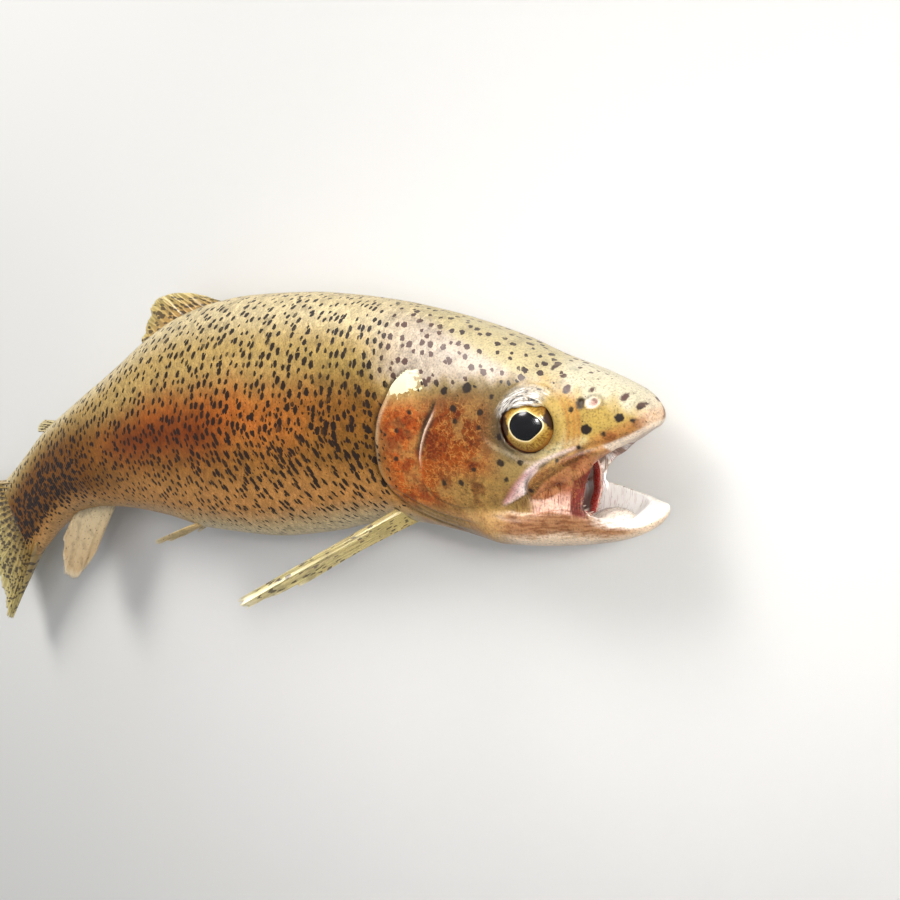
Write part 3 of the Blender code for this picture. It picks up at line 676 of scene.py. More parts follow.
def flank_tables():
    """For each station: points (v, w) down one side, evenly spread, and the girth of that side."""
    rings, girths, to_share = [], [], []
    for u in STATIONS:
        middle = body_frame(u)[2]
        _, reach, half, power = body_section(u, middle + TURNS)
        v = middle + np.sign(TURNS) * np.abs(np.sin(TURNS)) ** (2 / power) * reach
        w = np.abs(np.cos(TURNS)) ** (2 / power) * half
        v[MIDDLE_TURN] = middle
        run = np.r_[0, np.cumsum(np.hypot(np.diff(v), np.diff(w)))]
        even = np.linspace(0, run[-1], len(TURNS))
        rings.append(np.stack([np.interp(even, run, v), np.interp(even, run, w)], 1))
        girths.append(run[-1])
        to_share.append(run / run[-1])
    return np.array(rings), np.array(girths), np.array(to_share)


RINGS, GIRTHS, TURN_SHARES = flank_tables()


def girth_at(u):
    return np.interp(u, STATIONS, GIRTHS)


def flank_share(u, v, w):
    """How far down its side a point lies: 0 on the back's midline, 1 on the belly's."""
    rise, reach, half, power = body_section(u, v)
    climb = np.sign(rise) * (np.abs(rise) / reach) ** (power / 2)
    turn = np.arctan2(climb, (np.abs(w) / half) ** (power / 2))
    return bilinear(TURN_SHARES, u, (0.5 - turn / math.pi) * (len(TURNS) - 1))


def flank_point(u, share, side):
    """The (u, v, w) of a place on the body's outside."""
    v, w = bilinear(RINGS, u, share * (len(TURNS) - 1)).T
    return np.stack([u, v, w * side], 1)


# Linear colours, named for what they stand for.
# the back's own olive, paled and cooled by a painted wet sheen
OLIVE_BACK_AND_SHEEN = (.46, .375, .215)
KHAKI = (.36, .245, .084)
FLANK_BROWN = (.25, .112, .022)
RUST_BAND = (.43, .115, .014)
RUST_DEEP = (.115, .020, .002)
STEM_BROWN = (.125, .044, .003)
LOWER_FLANK = (.42, .20, .055)
BELLY_CREAM = (.52, .41, .22)
# painted highlight: the wet sheen over the top of the head
HEAD_PAINTED_SHEEN = (.41, .335, .262)
HEAD_SIDE = (.37, .25, .085)
RIDGE_YELLOW = (.40, .335, .18)
GILL_SHADE = (.66, .66, .52)
# painted highlight: the wet sheen over the top of the snout
SNOUT_PAINTED_SHEEN = (.47, .43, .31)
SNOUT_SIDE = (.37, .25, .058)
CHEEK_ORANGE = (.345, .068, .004)
CHEEK_BROWN = (.34, .21, .058)
LIP_ORANGE = (.38, .16, .040)
LIP_PALE = (.75, .62, .48)
MAXILLA_BROWN = (.185, .078, .024)
MAXILLA_PINK = (.40, .16, .065)
FOLD_PINK = (.88, .73, .71)
FOLD_ROSE = (.62, .30, .31)
GILL_CREAM = (.80, .76, .52)
LID_GREY = (.40, .37, .33)
DARK = (.030, .018, .010)
STRIP_GOLD = (.52, .46, .25)
NOSTRIL_RED = (.46, .24, .20)
JAW_BROWN = (.20, .062, .002)
JAW_CREAM = (.72, .56, .40)
THROAT_TAN = (.42, .25, .095)
MOUTH_WHITE = (.93, .91, .88)
MOUTH_RED = (.36, .06, .035)
WEB_RED = (.36, .13, .06)
RIM_RED = (.15, .018, .012)
WEB_PALE = (.66, .42, .34)

# The larger spots of the cheek and snout: (u, v, radius) in millimetres.
HEAD_SPOTS = [
    (33.0, 8.0, 1.00), (38.0, 7.6, .70), (36.0, 4.4, .72), (30.2, 3.5, .66), (27.9, 6.2, .45),
    (26.6, -1.2, .62), (27.2, -6.0, .72), (23.2, -6.0, .62), (26.6, -9.2, .50), (33.0, -7.2, .50),
    (36.4, -9.8, .62), (40.3, -9.9, .60), (35.8, 2.0, .55), (30.8, 0.7, .45), (10.2, -.5, .95),
    (4.6, 1.1, .75), (13.9, 6.6, .72), (17.6, 10.4, .55), (4.2, 4.4, .58), (1.7, 2.7, .62),
    (12.0, -3.6, .45), (16.2, -5.9, .42), (22.2, -11.4, .45), (3.2, 5.2, .50), (9.6, 6.2, .45),
    (7.4, -1.5, .42), (41.5, 9.9, .60), (46.0, 4.0, .55), (49.5, .5, .50), (50.5, -5.0, .55),
    (12.6, 3.2, .50), (2.6, 0.4, .40)]
NO_SPOT = -3.0


def layered(tone, *layers, where=1.0):
    """A base colour under layers, each a colour and how much of it shows."""
    for colour, mask in layers:
        tone = tone + (np.asarray(colour) - tone) * np.asarray(mask * where)[:, None]
    return tone


def without(*masks):
    """1 where none of the masks covers, 0 where one does."""
    return np.prod([1 - mask for mask in masks], 0)


def spot_pitch(u):
    """How far apart the spots are: widest on the head, closest on the stem."""
    return np.interp(u, [0, 48, 62, 85, 120, 160, 235], [2.4, 2.5, 2.4, 2.2, 2.2, 2.3, 2.4])


def spot_run():
    """The running count of spots along the body."""
    u = np.linspace(-5, 320, 651)
    return u, np.cumsum((u[1] - u[0]) / spot_pitch(u))


SPOT_RUN = spot_run()


def trunk_tone(u, height):
    """Colours of trunk and stem, from the belly up to the back."""
    waver = 0.02 * np.sin(u * 0.21) + 0.015 * np.sin(u * 0.53 + 1) - .05 * between(u, 110, 160)
    rust = np.interp(u, [50, 66, 76, 92, 105, 130, 145, 160, 180],
                     [.10, .15, .40, .66, .86, .85, .50, .15, .05])
    tone = layered(
        BELLY_CREAM,
        (LOWER_FLANK, between(height, .03, .17)),
        (FLANK_BROWN, between(height, .18, .38)),
        (LOWER_FLANK, .75 * between(u, 115, 160) * between(height, .25, .12)),
        (KHAKI, between(height, .56, .78)),
        # the back: olive under a painted sheen
        (OLIVE_BACK_AND_SHEEN, between(height, .80, .95)),
        (STEM_BROWN, .94 * between(u, 135, 180) * window(height, .10, .26, .62, .95)),
        (RUST_BAND, rust * bell(height - .53 - waver, .12)),
        (RUST_DEEP, .85 * bell(height - .49, .12) * window(u, 90, 112, 140, 165)))
    # painted shade on the flank just behind the gill cover
    painted_gill_shade = between(u, 90, 58) * window(height, .15, .40, .70, .88)
    return tone * (1 + (np.array(GILL_SHADE) - 1) * painted_gill_shade[:, None])


def paint(points, outward=1.0):
    """The attributes that skin and scales take their markings, painted sheen and painted shade from."""
    u, v, w = points.T
    top, low, _, half = body_frame(u)
    height = (v - low) / (top - low)

    # the head, from the crown down to the throat
    on_head = between(u, 55.5, 50.5)
    # above this line the head's top carries a painted highlight, its wet sheen; below it lies the olive side
    sheen_from = np.interp(u, [0, 2, 5, 8, 11, 14, 16, 21, 30, 41, 50],
                          [.3, 1.9, 2.9, 3.9, 4.6, 5.8, 7.7, 8.8, 9.0, 9.2, 10.2])
    sheen_from = sheen_from + .6 * np.sin(u * .9 + v * .5) + .4 * np.sin(u * 2.3 - v * 1.1)
    ridge_from = np.interp(u, [14.9, 22.7, 33.8, 44.7, 53.1, 62], [6.5, 9.0, 14.9, 20.2, 23.0, 25.5])
    ridge = between(v - ridge_from, -.9, 1.2) * between(u, 14, 20)
    beside = between(v - sheen_from, 1.9, -1.9)
    cheek = between(u, 25.5, 33.0) * window(v, -18.0, -12.0, 3.5, 8.5)
    head = layered(
        # the base is the painted sheen of the head's top
        HEAD_PAINTED_SHEEN,
        (SNOUT_PAINTED_SHEEN, between(u, 24, 15)),
        (RIDGE_YELLOW, .9 * ridge),
        (HEAD_SIDE, beside),
        (CHEEK_ORANGE, cheek),
        (CHEEK_BROWN, between(v, -5.5, -10.5) * window(u, 21, 24, 36.0, 44.0) * .85),
        (SNOUT_SIDE, between(u, 21, 13) * beside))
    head = head * (1 - .32 * window(u, 16, 26, 42.5, 45.5) * beside)[:, None]
    head = head * (1 - .38 * window(u, 19, 23, 35, 42) * between(v, -6, 1) * beside)[:, None]
    lip = v - np.interp(u, [0, 4, 9, 14], [-1.0, -2.9, -4.6, -7.0])
    head = layered(
        head,
        (LIP_ORANGE, between(lip, 3.8, 1.8) * between(u, 15, 8)),
        (LIP_PALE, between(lip, .9, 0.4) * between(u, 12, 8)),
        # the snout's tip painted paler: a painted highlight
        (LIP_PALE, between(u, 3.0, .2) * .55),
        (THROAT_TAN, between(v, -14.5, -17.5)))
    crown = between(height, .62, .90)
    tone = layered(trunk_tone(u, height), (head, between(u, 55.5 + 9 * crown, 50.5 - 8 * crown)))

    # what the head's lines and plates carry
    side_on = between(np.abs(w) / half, .25, .5) * (u < RELIEF_END)
    (gill, gill_ends, preopercle, shown, throat, maxilla, maxilla_lower, fold, fold_fade, suborbital,
     near_eye, angle, nose, rear_nose) = (read_map(name, u, v) for name in MAPS if name != "height")
    upper = between(v, -6.5, -2.5)
    fold_width = np.interp(v, [-14.4, -12.4, -9, -6.5], [.3, 1.9, 2.4, 1.3])
    plate = between(maxilla, -.15, .15)
    strip_middle = np.interp(u, [10.5, 14.3, 17.3, 19], [-2.2, -3.1, -3.9, -4.5])
    strip = bell(v - strip_middle, .75) * window(u, 9.6, 11, 18, 20.5)
    over, ahead = np.sin(angle), np.cos(angle)
    hood = between(near_eye, 7.4, 6.3) * between(np.clip(over, 0, 1), .25, .6) * between(angle, .70, 1.15)
    tone = layered(
        tone,
        (GILL_CREAM, .30 * bell(gill + .9, .4) * gill_ends * between(v, -12, 6)),
        (DARK, .38 * bell(gill + .15, .35) * gill_ends * between(v, 7.5, 5)),
        (DARK, .85 * bell(gill - .35, .32) * gill_ends),
        (DARK, bell(preopercle + .50, .48) ** .7 * shown * (.35 + .65 * upper)),
        (DARK, .85 * bell(preopercle - .95, .32) * shown * upper * between(v, 4.5, 2)),
        (LIP_PALE, .9 * bell(preopercle - .30, .26) * shown * window(v, -8, -4, 2, 5)),
        *((DARK, .5 * bell(throat - rank - .1, .22) * window(u, 38, 45, 53, 56))
          for rank in (0, *THROAT_LINES)),
        (DARK, .42 * window(throat, -.6, .6, 3.0, 5.0) * window(u, 35, 40, 46, 52)),
        (FOLD_PINK, between(fold, .0, .4) * between(fold, fold_width + .5, fold_width) * fold_fade),
        (FOLD_ROSE, .7 * bell(fold - .25, .4) * fold_fade),
        (DARK, .6 * bell(fold - fold_width - .5, .22) * fold_fade),
        (MAXILLA_BROWN, plate),
        (MAXILLA_PINK, plate * between(maxilla_lower, -.1, .35)),
        (DARK, .95 * bell(maxilla + .30, .36) * between(u, 8.5, 12) * (.6 + .4 * np.sin(u * 2.1 + v))),
        (FOLD_PINK, .85 * bell(maxilla + 1.0, .38) * between(v, -8.6, -7.6) * between(u, 11, 13.5)),
        (STRIP_GOLD, .85 * strip),
        (GILL_CREAM, .12 * bell(suborbital - .55, .45) * window(u, 14.5, 18, 28, 31)),
        # dark round the eye's opening and a patch behind it: partly the fish's own dark blotch, partly
        # painted shadow of the socket
        (DARK, .75 * bell(near_eye - 5.0, .9) * np.clip(np.maximum(-ahead * .9, -over * .5) + .25, 0, 1)),
        (LIP_PALE, .40 * bell(near_eye - 6.7, .4) * np.clip(-over, 0, 1)),
        (DARK, .80 * bell(near_eye - 6.3, 1.7) * np.clip(-np.cos(angle - .35), 0, 1) ** 1.5),
        (LID_GREY, .75 * hood),
        *((CHEEK_ORANGE, .5 * np.clip(ahead, 0, 1) ** 3 * bell(near_eye - radius, .35))
          for radius in EYE_CREASES),
        (DARK, .5 * bell(nose - 1.55, .18)),
        (FOLD_PINK, .55 * between(nose, 1.30, 1.00)),
        (NOSTRIL_RED, .75 * between(nose, .95, .35)),
        (DARK, .95 * between(rear_nose, 1.0, .7)), where=side_on)
    shown, plate, strip, hood = shown * side_on, plate * side_on, strip * side_on, hood * side_on

    # lower jaw and mouth
    jaw_v, _ = untwist(u, v, w)
    rim, under_jaw = JAW_RIM(u / HEAD) * HEAD, JAW_UNDERSIDE(u / HEAD) * HEAD
    depth = (rim - jaw_v) / (rim - under_jaw)
    to_jaw = jaw_distance(u, v, w)
    on_jaw = between(v, -13.4, -14.6) * between(u, 33, 26) * between(to_jaw, .55, .25)
    jaw = layered(
        JAW_CREAM,
        (JAW_BROWN, window(depth, .03, .10, .42, .62) * between(u, 1.5, 7) * .85),
        (MOUTH_WHITE, .8 * between(depth, .34, .16) * between(u, 13, 7)),
        (THROAT_TAN, between(depth, .80, 1.0) * .5))
    sunk = -flesh_distance(u, v, w)
    inner = np.where(w > 0, between(sunk, .45, 1.0 - .35 * between(u, 17, 13)), between(sunk, .10, .35))
    inner = inner * (u < 45) * (1 - between(to_jaw, .3, .0))
    in_trough = between(trough_distance(u, v, w), .45, .2)
    in_trough = in_trough * between(u, 26, 23) * between(np.abs(sunk), .1, .4)
    web = between(web_distance(u, v, w), .5, .1) * (u < WEB_BACK)
    inward = between(outward, .05, -.35) * between(u, 21, 17) * between(lip, 1.5, .6) * between(u, 1, 2.5)
    inside = np.max([inner, in_trough, inward], 0) * (1 - web * (w > 0))
    front = u - WEB_FRONT(v)
    skin_web = layered(
        WEB_RED,
        (WEB_PALE, between(v, -11.4, -13.6)),
        (RIM_RED, between(front, 1.7, 1.1) * between(v, -17.5, -16.0)),
        (MOUTH_WHITE, w < 0))
    tone = layered(
        tone,
        (jaw, on_jaw),
        (layered(MOUTH_WHITE, (MOUTH_RED, between(u, 16.5, 25.0))), inside),
        (skin_web, web * between(maxilla, .05, -.15) * between(u, 24.5, 22.0)))
    off_jaw = without(inside, on_jaw)

    # spots: places in a stretched, slanted map, how long they are, and their size
    share = flank_share(u, v, w)
    arc = share * girth_at(u)
    mid_arc = np.interp(u, STATIONS, TURN_SHARES[:, MIDDLE_TURN]) * girth_at(u)
    shifted = u + 0.30 * between(u, 50, 72) * np.abs(arc - mid_arc)
    long = 1 + between(u, 48, 66) * (0.12 + 0.28 * between(share, .12, .30)) * between(u, 150, 100)
    lie = np.stack([np.interp(shifted, *SPOT_RUN), arc / spot_pitch(u) + np.where(w < 0, 60, 0), long], 1)
    size = np.interp(share, [0, .10, .30, .50, .62, .78, .90, 1], [.20, .225, .25, .275, .28, .21, .10, 0])
    size = size * (1 + .55 * between(u, 165, 195) * between(share, .25, .5))
    size = size + (.20 * between(v, 6.8, 9.2) + .02 - size) * on_head
    cream = np.exp(-(((u - 48.6) / 3.4) ** 2 + ((v - 9.4) / 2.6) ** 2) ** 1.5) * (gill < 0.2)
    size = size * off_jaw * without(plate, hood, web, .85 * cream * side_on) * between(nose, 1.0, 1.6)
    extra = (.165 * window(height, .22, .34, .52, .66) * window(u, 50, 56, 84, 112)
             + (.28 + .12 * between(u, 185, 205)) * between(u, 158, 185) * window(height, .10, .22, .50, .66))
    edge = np.max([radius - np.hypot(u - su, v - sv) for su, sv, radius in HEAD_SPOTS], 0)
    edge = np.where((inside > .3) | (side_on < .3), NO_SPOT, np.maximum(edge, NO_SPOT))

    # the cream patch behind the eye, painted sheen over spots, gold curls, grime and wet flesh
    patch = 1 - ((u - 47.9) / 4.9) ** 2 - ((v - 9.8) / 2.9) ** 2 - .30 * between(gill, -2.5, -4.5)
    patch = np.where((gill < 0.15) & (side_on > .5), patch, -2)
    # where the head's painted sheen lies, its spots are painted paler: a painted reflection
    spot_sheen = on_head * between(v - sheen_from, -.6, 1.0) * (1 - .7 * ridge) * off_jaw
    curls = cheek * on_head * without(plate, inside, .9 * bell(preopercle, .9) * shown)
    curls = np.max([curls * between(np.abs(gill), .2, .9), .9 * plate, strip,
                    .7 * on_head * window(lip, .5, 1.0, 2.4, 3.6) * between(u, 14, 10),
                    .5 * on_head * between(v, -8, -12) * off_jaw], 0)
    grime = on_jaw * between(depth, .75, .5) * (1 - inside) * between(u, 3, 9)
    return dict(tone=np.hstack([tone, np.ones((len(u), 1))]), lie=lie, fish=points,
                marks=np.stack([size, edge, curls], 1), more=np.stack([extra, spot_sheen, grime], 1),
                arcs=np.stack([angle * 2.2, near_eye * 2.0, hood], 1),
                flesh=np.maximum(.45 * inside, web), patch=patch, calm=inside)


# ---- node materials
class Surface:
    """A material whose nodes are put together by short calls."""

    def __init__(self, name):
        self.material = bpy.data.materials.new(name)
        self.material.use_nodes = True
        self.tree = self.material.node_tree
        self.shader = self.tree.nodes["Principled BSDF"]

    def put(self, socket, value):
        if hasattr(value, "is_output"):
            self.tree.links.new(value, socket)
        else:
            socket.default_value = (*value, 1) if socket.type == "RGBA" else value

    def node(self, kind, inputs=(), **settings):
        """A new node's outputs; its inputs come in order, or by name or number."""
        made = self.tree.nodes.new("ShaderNode" + kind)
        for key, value in settings.items():
            setattr(made, key, value)
        for key, value in inputs.items() if isinstance(inputs, dict) else enumerate(inputs):
            self.put(made.inputs[key], value)
        return made.outputs

    def read(self, name, output="Fac"):
        return self.node("Attribute", attribute_name=name)[output]

    def split(self, vector):
        return self.node("SeparateXYZ", [vector])

    def math(self, operation, *values):
        return self.node("Math", values, operation=operation)[0]

    def times(self, first, second):
        return self.math("MULTIPLY", first, second)

    def plus(self, first, second):
        return self.math("ADD", first, second)

    def minus(self, first, second):
        return self.math("SUBTRACT", first, second)

    def stretch(self, vector, scale):
        return self.node("VectorMath", (vector, scale), operation="MULTIPLY")[0]

    def add(self, vector, other):
        return self.node("VectorMath", (vector, other), operation="ADD")[0]

    def step(self, value, *ends):
        """A smooth step from low to high, and from out_low to out_high where they are given too."""
        return self.node("MapRange", (value, *ends), interpolation_type="SMOOTHSTEP")[0]

    def noise(self, vector, scale, detail=2.0, output="Fac"):
        return self.node("TexNoise", dict(Vector=vector, Scale=scale, Detail=detail))[output]

    def cells(self, vector, dimensions):
        return self.node("TexVoronoi", dict(Vector=vector, Scale=1.0, Randomness=0.85),
                         voronoi_dimensions=dimensions)

    def spots(self, lie, size, fish, wander=.3, missing=.92):
        """A mask of oval spots, one to a cell of the lie's map; lie's third number is their length."""
        moved = self.add(lie, self.stretch(self.noise(fish, 0.8, 2.0, "Color"), (wander, wander, 0)))
        cell = self.cells(moved, "2D")
        across, down, _ = self.split(self.add(moved, self.stretch(cell["Position"], (-1, -1, 0))))
        chance, gone, _ = self.split(cell["Color"])
        reach = self.times(size, self.step(chance, 0, 1, .72, 1.28))
        down = self.math("DIVIDE", down, self.split(lie)[2])
        off = self.length(across, down)
        off = self.plus(off, self.step(self.noise(fish, 2.2, 1.0), .3, .7, -.035, .035))
        spot = self.step(self.minus(reach, off), -.025, .035)
        return self.times(spot, self.math("LESS_THAN", gone, missing))

    def length(self, first, second):
        return self.math("SQRT", self.plus(self.math("POWER", first, 2.0), self.math("POWER", second, 2.0)))

    def blend(self, first, second, mask, kind="MIX"):
        return self.node("Mix", {0: mask, 6: first, 7: second}, data_type="RGBA", blend_type=kind)[2]

    def tint(self, tone, by, mask):
        """The tone, multiplied by a colour or a grey where the mask is."""
        by = by if isinstance(by, tuple) else (by, by, by)
        return self.blend(tone, self.blend(tone, by, 1.0, "MULTIPLY"), mask)

    def bump(self, height, strength, distance):
        return self.node("Bump", dict(Height=height, Strength=strength, Distance=distance))[0]

    def finish(self, **inputs):
        for name, value in inputs.items():
            self.put(self.shader.inputs[name.replace("_", " ")], value)
        return self.material


SPOT_BROWN = (.014, .008, .006)
# a spot's tone under the painted sheen: painted reflection
SPOT_UNDER_SHEEN = (.080, .042, .034)
CREAM = (.74, .69, .45)
CURL_GOLD = (.55, .31, .07)
CHEEK_GOLD = (.31, .19, .055)
LID_DARK = (.05, .045, .05)
LID_LIGHT = (.90, .88, .86)


def skin_material(name, scaled):
    """Skin or scales: one set of markings, with its own fine surface."""
    m = Surface(name)
    fish, lie = m.read("fish", "Vector"), m.read("lie", "Vector")
    size, edge, curls = m.split(m.read("marks", "Vector"))
    extra, spot_sheen, grime = m.split(m.read("more", "Vector"))
    tone = plain = m.read("tone", "Color")
    fine = m.noise(fish, 2.6, 3.0)
    for by, mask in ((.55, m.step(m.noise(fish, 0.35, 4.0), .50, .72, 0, .55)),
                     ((1.35, 1.30, 1.15), m.step(fine, .48, .66, 0, .6)),
                     (.55, m.step(fine, .46, .34, 0, .7))):
        tone = m.tint(tone, by, mask)
    tone = m.blend(tone, plain, m.read("calm"))
    ragged = m.plus(m.read("patch"), m.step(m.noise(fish, 0.9, 4.0), .3, .7, -.6, .6))
    tone = m.blend(tone, CREAM, m.step(ragged, .05, .35, 0, .95))

    # gold curls over cheek and plates, and grime along the jaw
    warp = m.add(fish, m.stretch(m.noise(fish, 0.7, 2.0, "Color"), (2.2, 2.2, 2.2)))
    curl = m.step(m.math("ABSOLUTE", m.minus(m.noise(warp, 0.75, 3.0), 0.5)), .040, .010)
    tone = m.blend(tone, CURL_GOLD, m.times(curl, m.times(curls, .40)))
    golden = m.times(m.step(m.noise(fish, 0.20, 3.0), .49, .62, 0, .65), curls)
    tone = m.blend(tone, m.blend(tone, CHEEK_GOLD, .8), golden)
    tone = m.tint(tone, (.55, .36, .30), m.times(m.step(m.noise(fish, 0.28, 3.0), .46, .62), curls))
    tone = m.tint(tone, .40, m.times(m.step(m.noise(fish, 1.5, 4.0), .52, .66), m.times(curls, .75)))
    streaks = m.noise(m.stretch(fish, (.30, 1.6, 1.6)), 1.1, 5.0)
    tone = m.tint(tone, (.55, .40, .28), m.times(m.step(streaks, .42, .66), grime))

    # the even spots, the ones between them, and the larger ones of the head
    closer = m.add(m.stretch(lie, (1.22, 1.22, 1)), (7.3, 3.1, 0))
    small = m.math("MAXIMUM", m.spots(lie, size, fish), m.spots(closer, extra, fish))
    ragged = m.plus(edge, m.times(m.minus(m.noise(fish, 1.6, 2.0), .5), .7))
    spots = m.math("MAXIMUM", small, m.step(ragged, -.20, .20))
    spots = m.times(spots, m.step(m.noise(fish, 0.5, 2.0), .25, .45, .72, 1.0))
    # spots under the head's painted sheen take a paler tone, a painted reflection
    tone = m.blend(tone, m.blend(SPOT_BROWN, SPOT_UNDER_SHEEN, spot_sheen), spots)

    # strokes in the eyelid, strands in the skin at the mouth's corners
    arcs = m.read("arcs", "Vector")
    hood = m.split(arcs)[2]
    strokes = m.noise(m.stretch(arcs, (1, 1, 0)), 1.3, 3.0)
    tone = m.blend(tone, LID_DARK, m.times(m.step(strokes, .56, .62), hood))
    tone = m.blend(tone, LID_LIGHT, m.times(m.step(strokes, .46, .40, 0, .7), hood))
    strands = m.noise(m.stretch(fish, (4.5, .35, .6)), 1.0, 2.0)
    tone = m.tint(tone, (.50, .34, .33), m.times(m.step(strands, .55, .63), m.read("flesh")))
    grain = m.noise(fish, 3.4, 3.0)
    if scaled:
        # painted shade: each scale darker towards its lifted rear rim
        tone = m.tint(tone, 0.62, m.step(m.read("rim"), .60, 1.0, 0, .60))
        return m.finish(Base_Color=tone, Roughness=m.step(fine, .3, .7, .36, .50),
                        Normal=m.bump(grain, .25, .0001), Coat_Weight=.08, Coat_Roughness=.20, IOR=1.27)
    pits = m.cells(m.stretch(fish, (1.3, 1.3, 1.3)), "3D")["Distance"]
    return m.finish(Base_Color=tone, Roughness=m.step(fine, .3, .7, .34, .50),
                    Normal=m.bump(m.plus(grain, m.times(pits, .4)), .30, .0002),
                    Coat_Weight=.18, Coat_Roughness=.20, IOR=1.36)


# ---- scales
SCALE_RUN = 1.15               # from one scale to the next along the body
SCALE_RISE = 0.85              # from one row to the next down the side
SCALE_OUTLINE = np.array([
    (-.62, 0.0), (-.45, .62), (.05, .95), (.58, .80), (.86, .34), (.92, 0.0), (.86, -.34), (.58, -.80),
    (.05, -.95), (-.45, -.62)])
FULL_ROWS = 0.55 * GIRTHS.max()     # where the girth is less, every other row stops
BAKE_PATCH = 0.003


def skin_unwrap(u, share, side):
    """Where a place of the skin lies on a flat map of it, from 0 to 1 both ways."""
    return np.stack([(u + 4) / (1.06 * LENGTH), 0.5 + side * 0.49 * share], 1)


def scale_places():
    """(u, share, side) of each scale, over trunk and stem and up to the gill cover."""
    rows = []
    count = int(GIRTHS.max() / SCALE_RISE) + 1
    for side, _ in SIDES:
        for row in range(count):
            u = np.arange(40 + 0.5 * SCALE_RUN * (row % 2), LENGTH + 2.5, SCALE_RUN)
            keep = (row % 2 == 0) | (girth_at(u) > FULL_ROWS)
            rows.append(np.stack([u, (row + 0.5) / count + 0 * u, side + 0 * u], 1)[keep])
    places = np.vstack(rows)
    u, share, side = places.T
    v = flank_point(u, share, side)[:, 1]
    beside_head = (v >= -15.0) & ((read_map("gill", u, v) > 0.9) | ((v > 10.5) & (u > 45.0)))
    wanted = ((u >= 60) | beside_head) & (u < LENGTH + 2.0 - 5.0 * (1 - np.abs(2 * share - 1)))
    return places[wanted]


def sharpen_rims(mesh, count):
    """Shade a scale's top and underside apart: the edges of its outline are sharp."""
    ends = np.zeros(2 * len(mesh.edges), np.int32)
    mesh.edges.foreach_get("vertices", ends)
    outline = (ends.reshape(-1, 2) % (count + 2) < count).all(1)
    mesh.attributes.new("sharp_edge", "BOOLEAN", "EDGE").data.foreach_set("value", outline)


def build_scales(material):
    """Three pieces of solid scales, each scale a low shingle whose rear edge lifts off the skin."""
    random = np.random.default_rng(11)
    places = scale_places()
    count = len(SCALE_OUTLINE)
    after = [(j + 1) % count for j in range(count)]
    fans = [fan for j, n in enumerate(after) for fan in ((j, n, count), (n, j, count + 1))]
    # rim: 0 at the front of a scale, 1 along its lifted rear edge, where the painted shade lies
    rim = np.r_[np.clip((SCALE_OUTLINE[:, 0] + .1) / .9, 0, 1), 0, 0]
    patch = np.vstack([SCALE_OUTLINE, [(0.2, 0), (0.2, 0)]]) * (BAKE_PATCH / 2)
    ends = [*np.quantile(places[:, 0], [0, 1 / 3, 2 / 3]), math.inf]
    for name, start, end in zip(("scales_front", "scales_middle", "scales_rear"), ends, ends[1:]):
        u, share, side = places[(places[:, 0] >= start) & (places[:, 0] < end)].T
        girth = girth_at(u)
        run = SCALE_RUN * np.clip(girth / GIRTHS.max(), .62, 1) * random.uniform(.93, 1.07, len(u))
        rise = SCALE_RISE * girth / GIRTHS.max() * np.where(girth > FULL_ROWS, 1, 2) * 1.12
        centre = flank_point(u, share, side)
        along = flank_point(u + .5, share, side) - centre
        down = flank_point(u, np.clip(share + .01, 0, .9999), side) - centre
        normal = unit(np.cross(along, down) * -side[:, None])
        tilt = random.uniform(-.012, .012, len(u))
        ring = [flank_point(u + a * run, np.clip(share + b * rise / girth, 0.0, .9999), side)
                + normal * (-.050 + .100 * (a + .62) / 1.54 + tilt * b - COAT)[:, None]
                for a, b in SCALE_OUTLINE]
        top = centre + along / .5 * (0.28 * run)[:, None] + normal * (.042 - COAT)
        bottom = centre + normal * (-.075 - COAT)
        verts = np.stack([*ring, top, bottom], 1).reshape(-1, 3)
        base = np.arange(len(u))[:, None] * (count + 2)
        faces = np.concatenate([base + fan for fan in fans])
        flip = np.tile(side < 0, 2 * count)
        faces[flip] = faces[flip][:, ::-1]
        uv = skin_unwrap(u, share, side)[:, None] + patch[None]
        attributes = paint(verts)
        attributes["tone"][:, :3] *= np.repeat(random.uniform(.80, 1.17, len(u)), count + 2)[:, None]
        attributes["rim"] = np.tile(rim, len(u))
        thing = add_mesh(name, verts, faces, material, attributes, uv.reshape(-1, 2))
        sharpen_rims(thing.data, count)
        yield thing


# ---- fins
def line(*points):
    """A smooth line through points given as fractions of the length, from 0 to 1."""
    return smooth_path(np.array(points, float) * LENGTH)


def median(*points):
    return line(*[(u, v, 0) for u, v in points])


FIN_STEPS = 12                 # points across each ray


def ray_profile(phase, t, fork):
    """1 on a ray and 0 on the web between; each ray forks in two on its way out."""
    frac = phase % 1.0 - 0.5
    spread = 0.26 * between(t, fork, fork + 0.45)
    width = 0.13 - 0.035 * between(t, fork, fork + 0.3)
    return np.maximum(bell(frac - spread, width), bell(frac + spread, width))


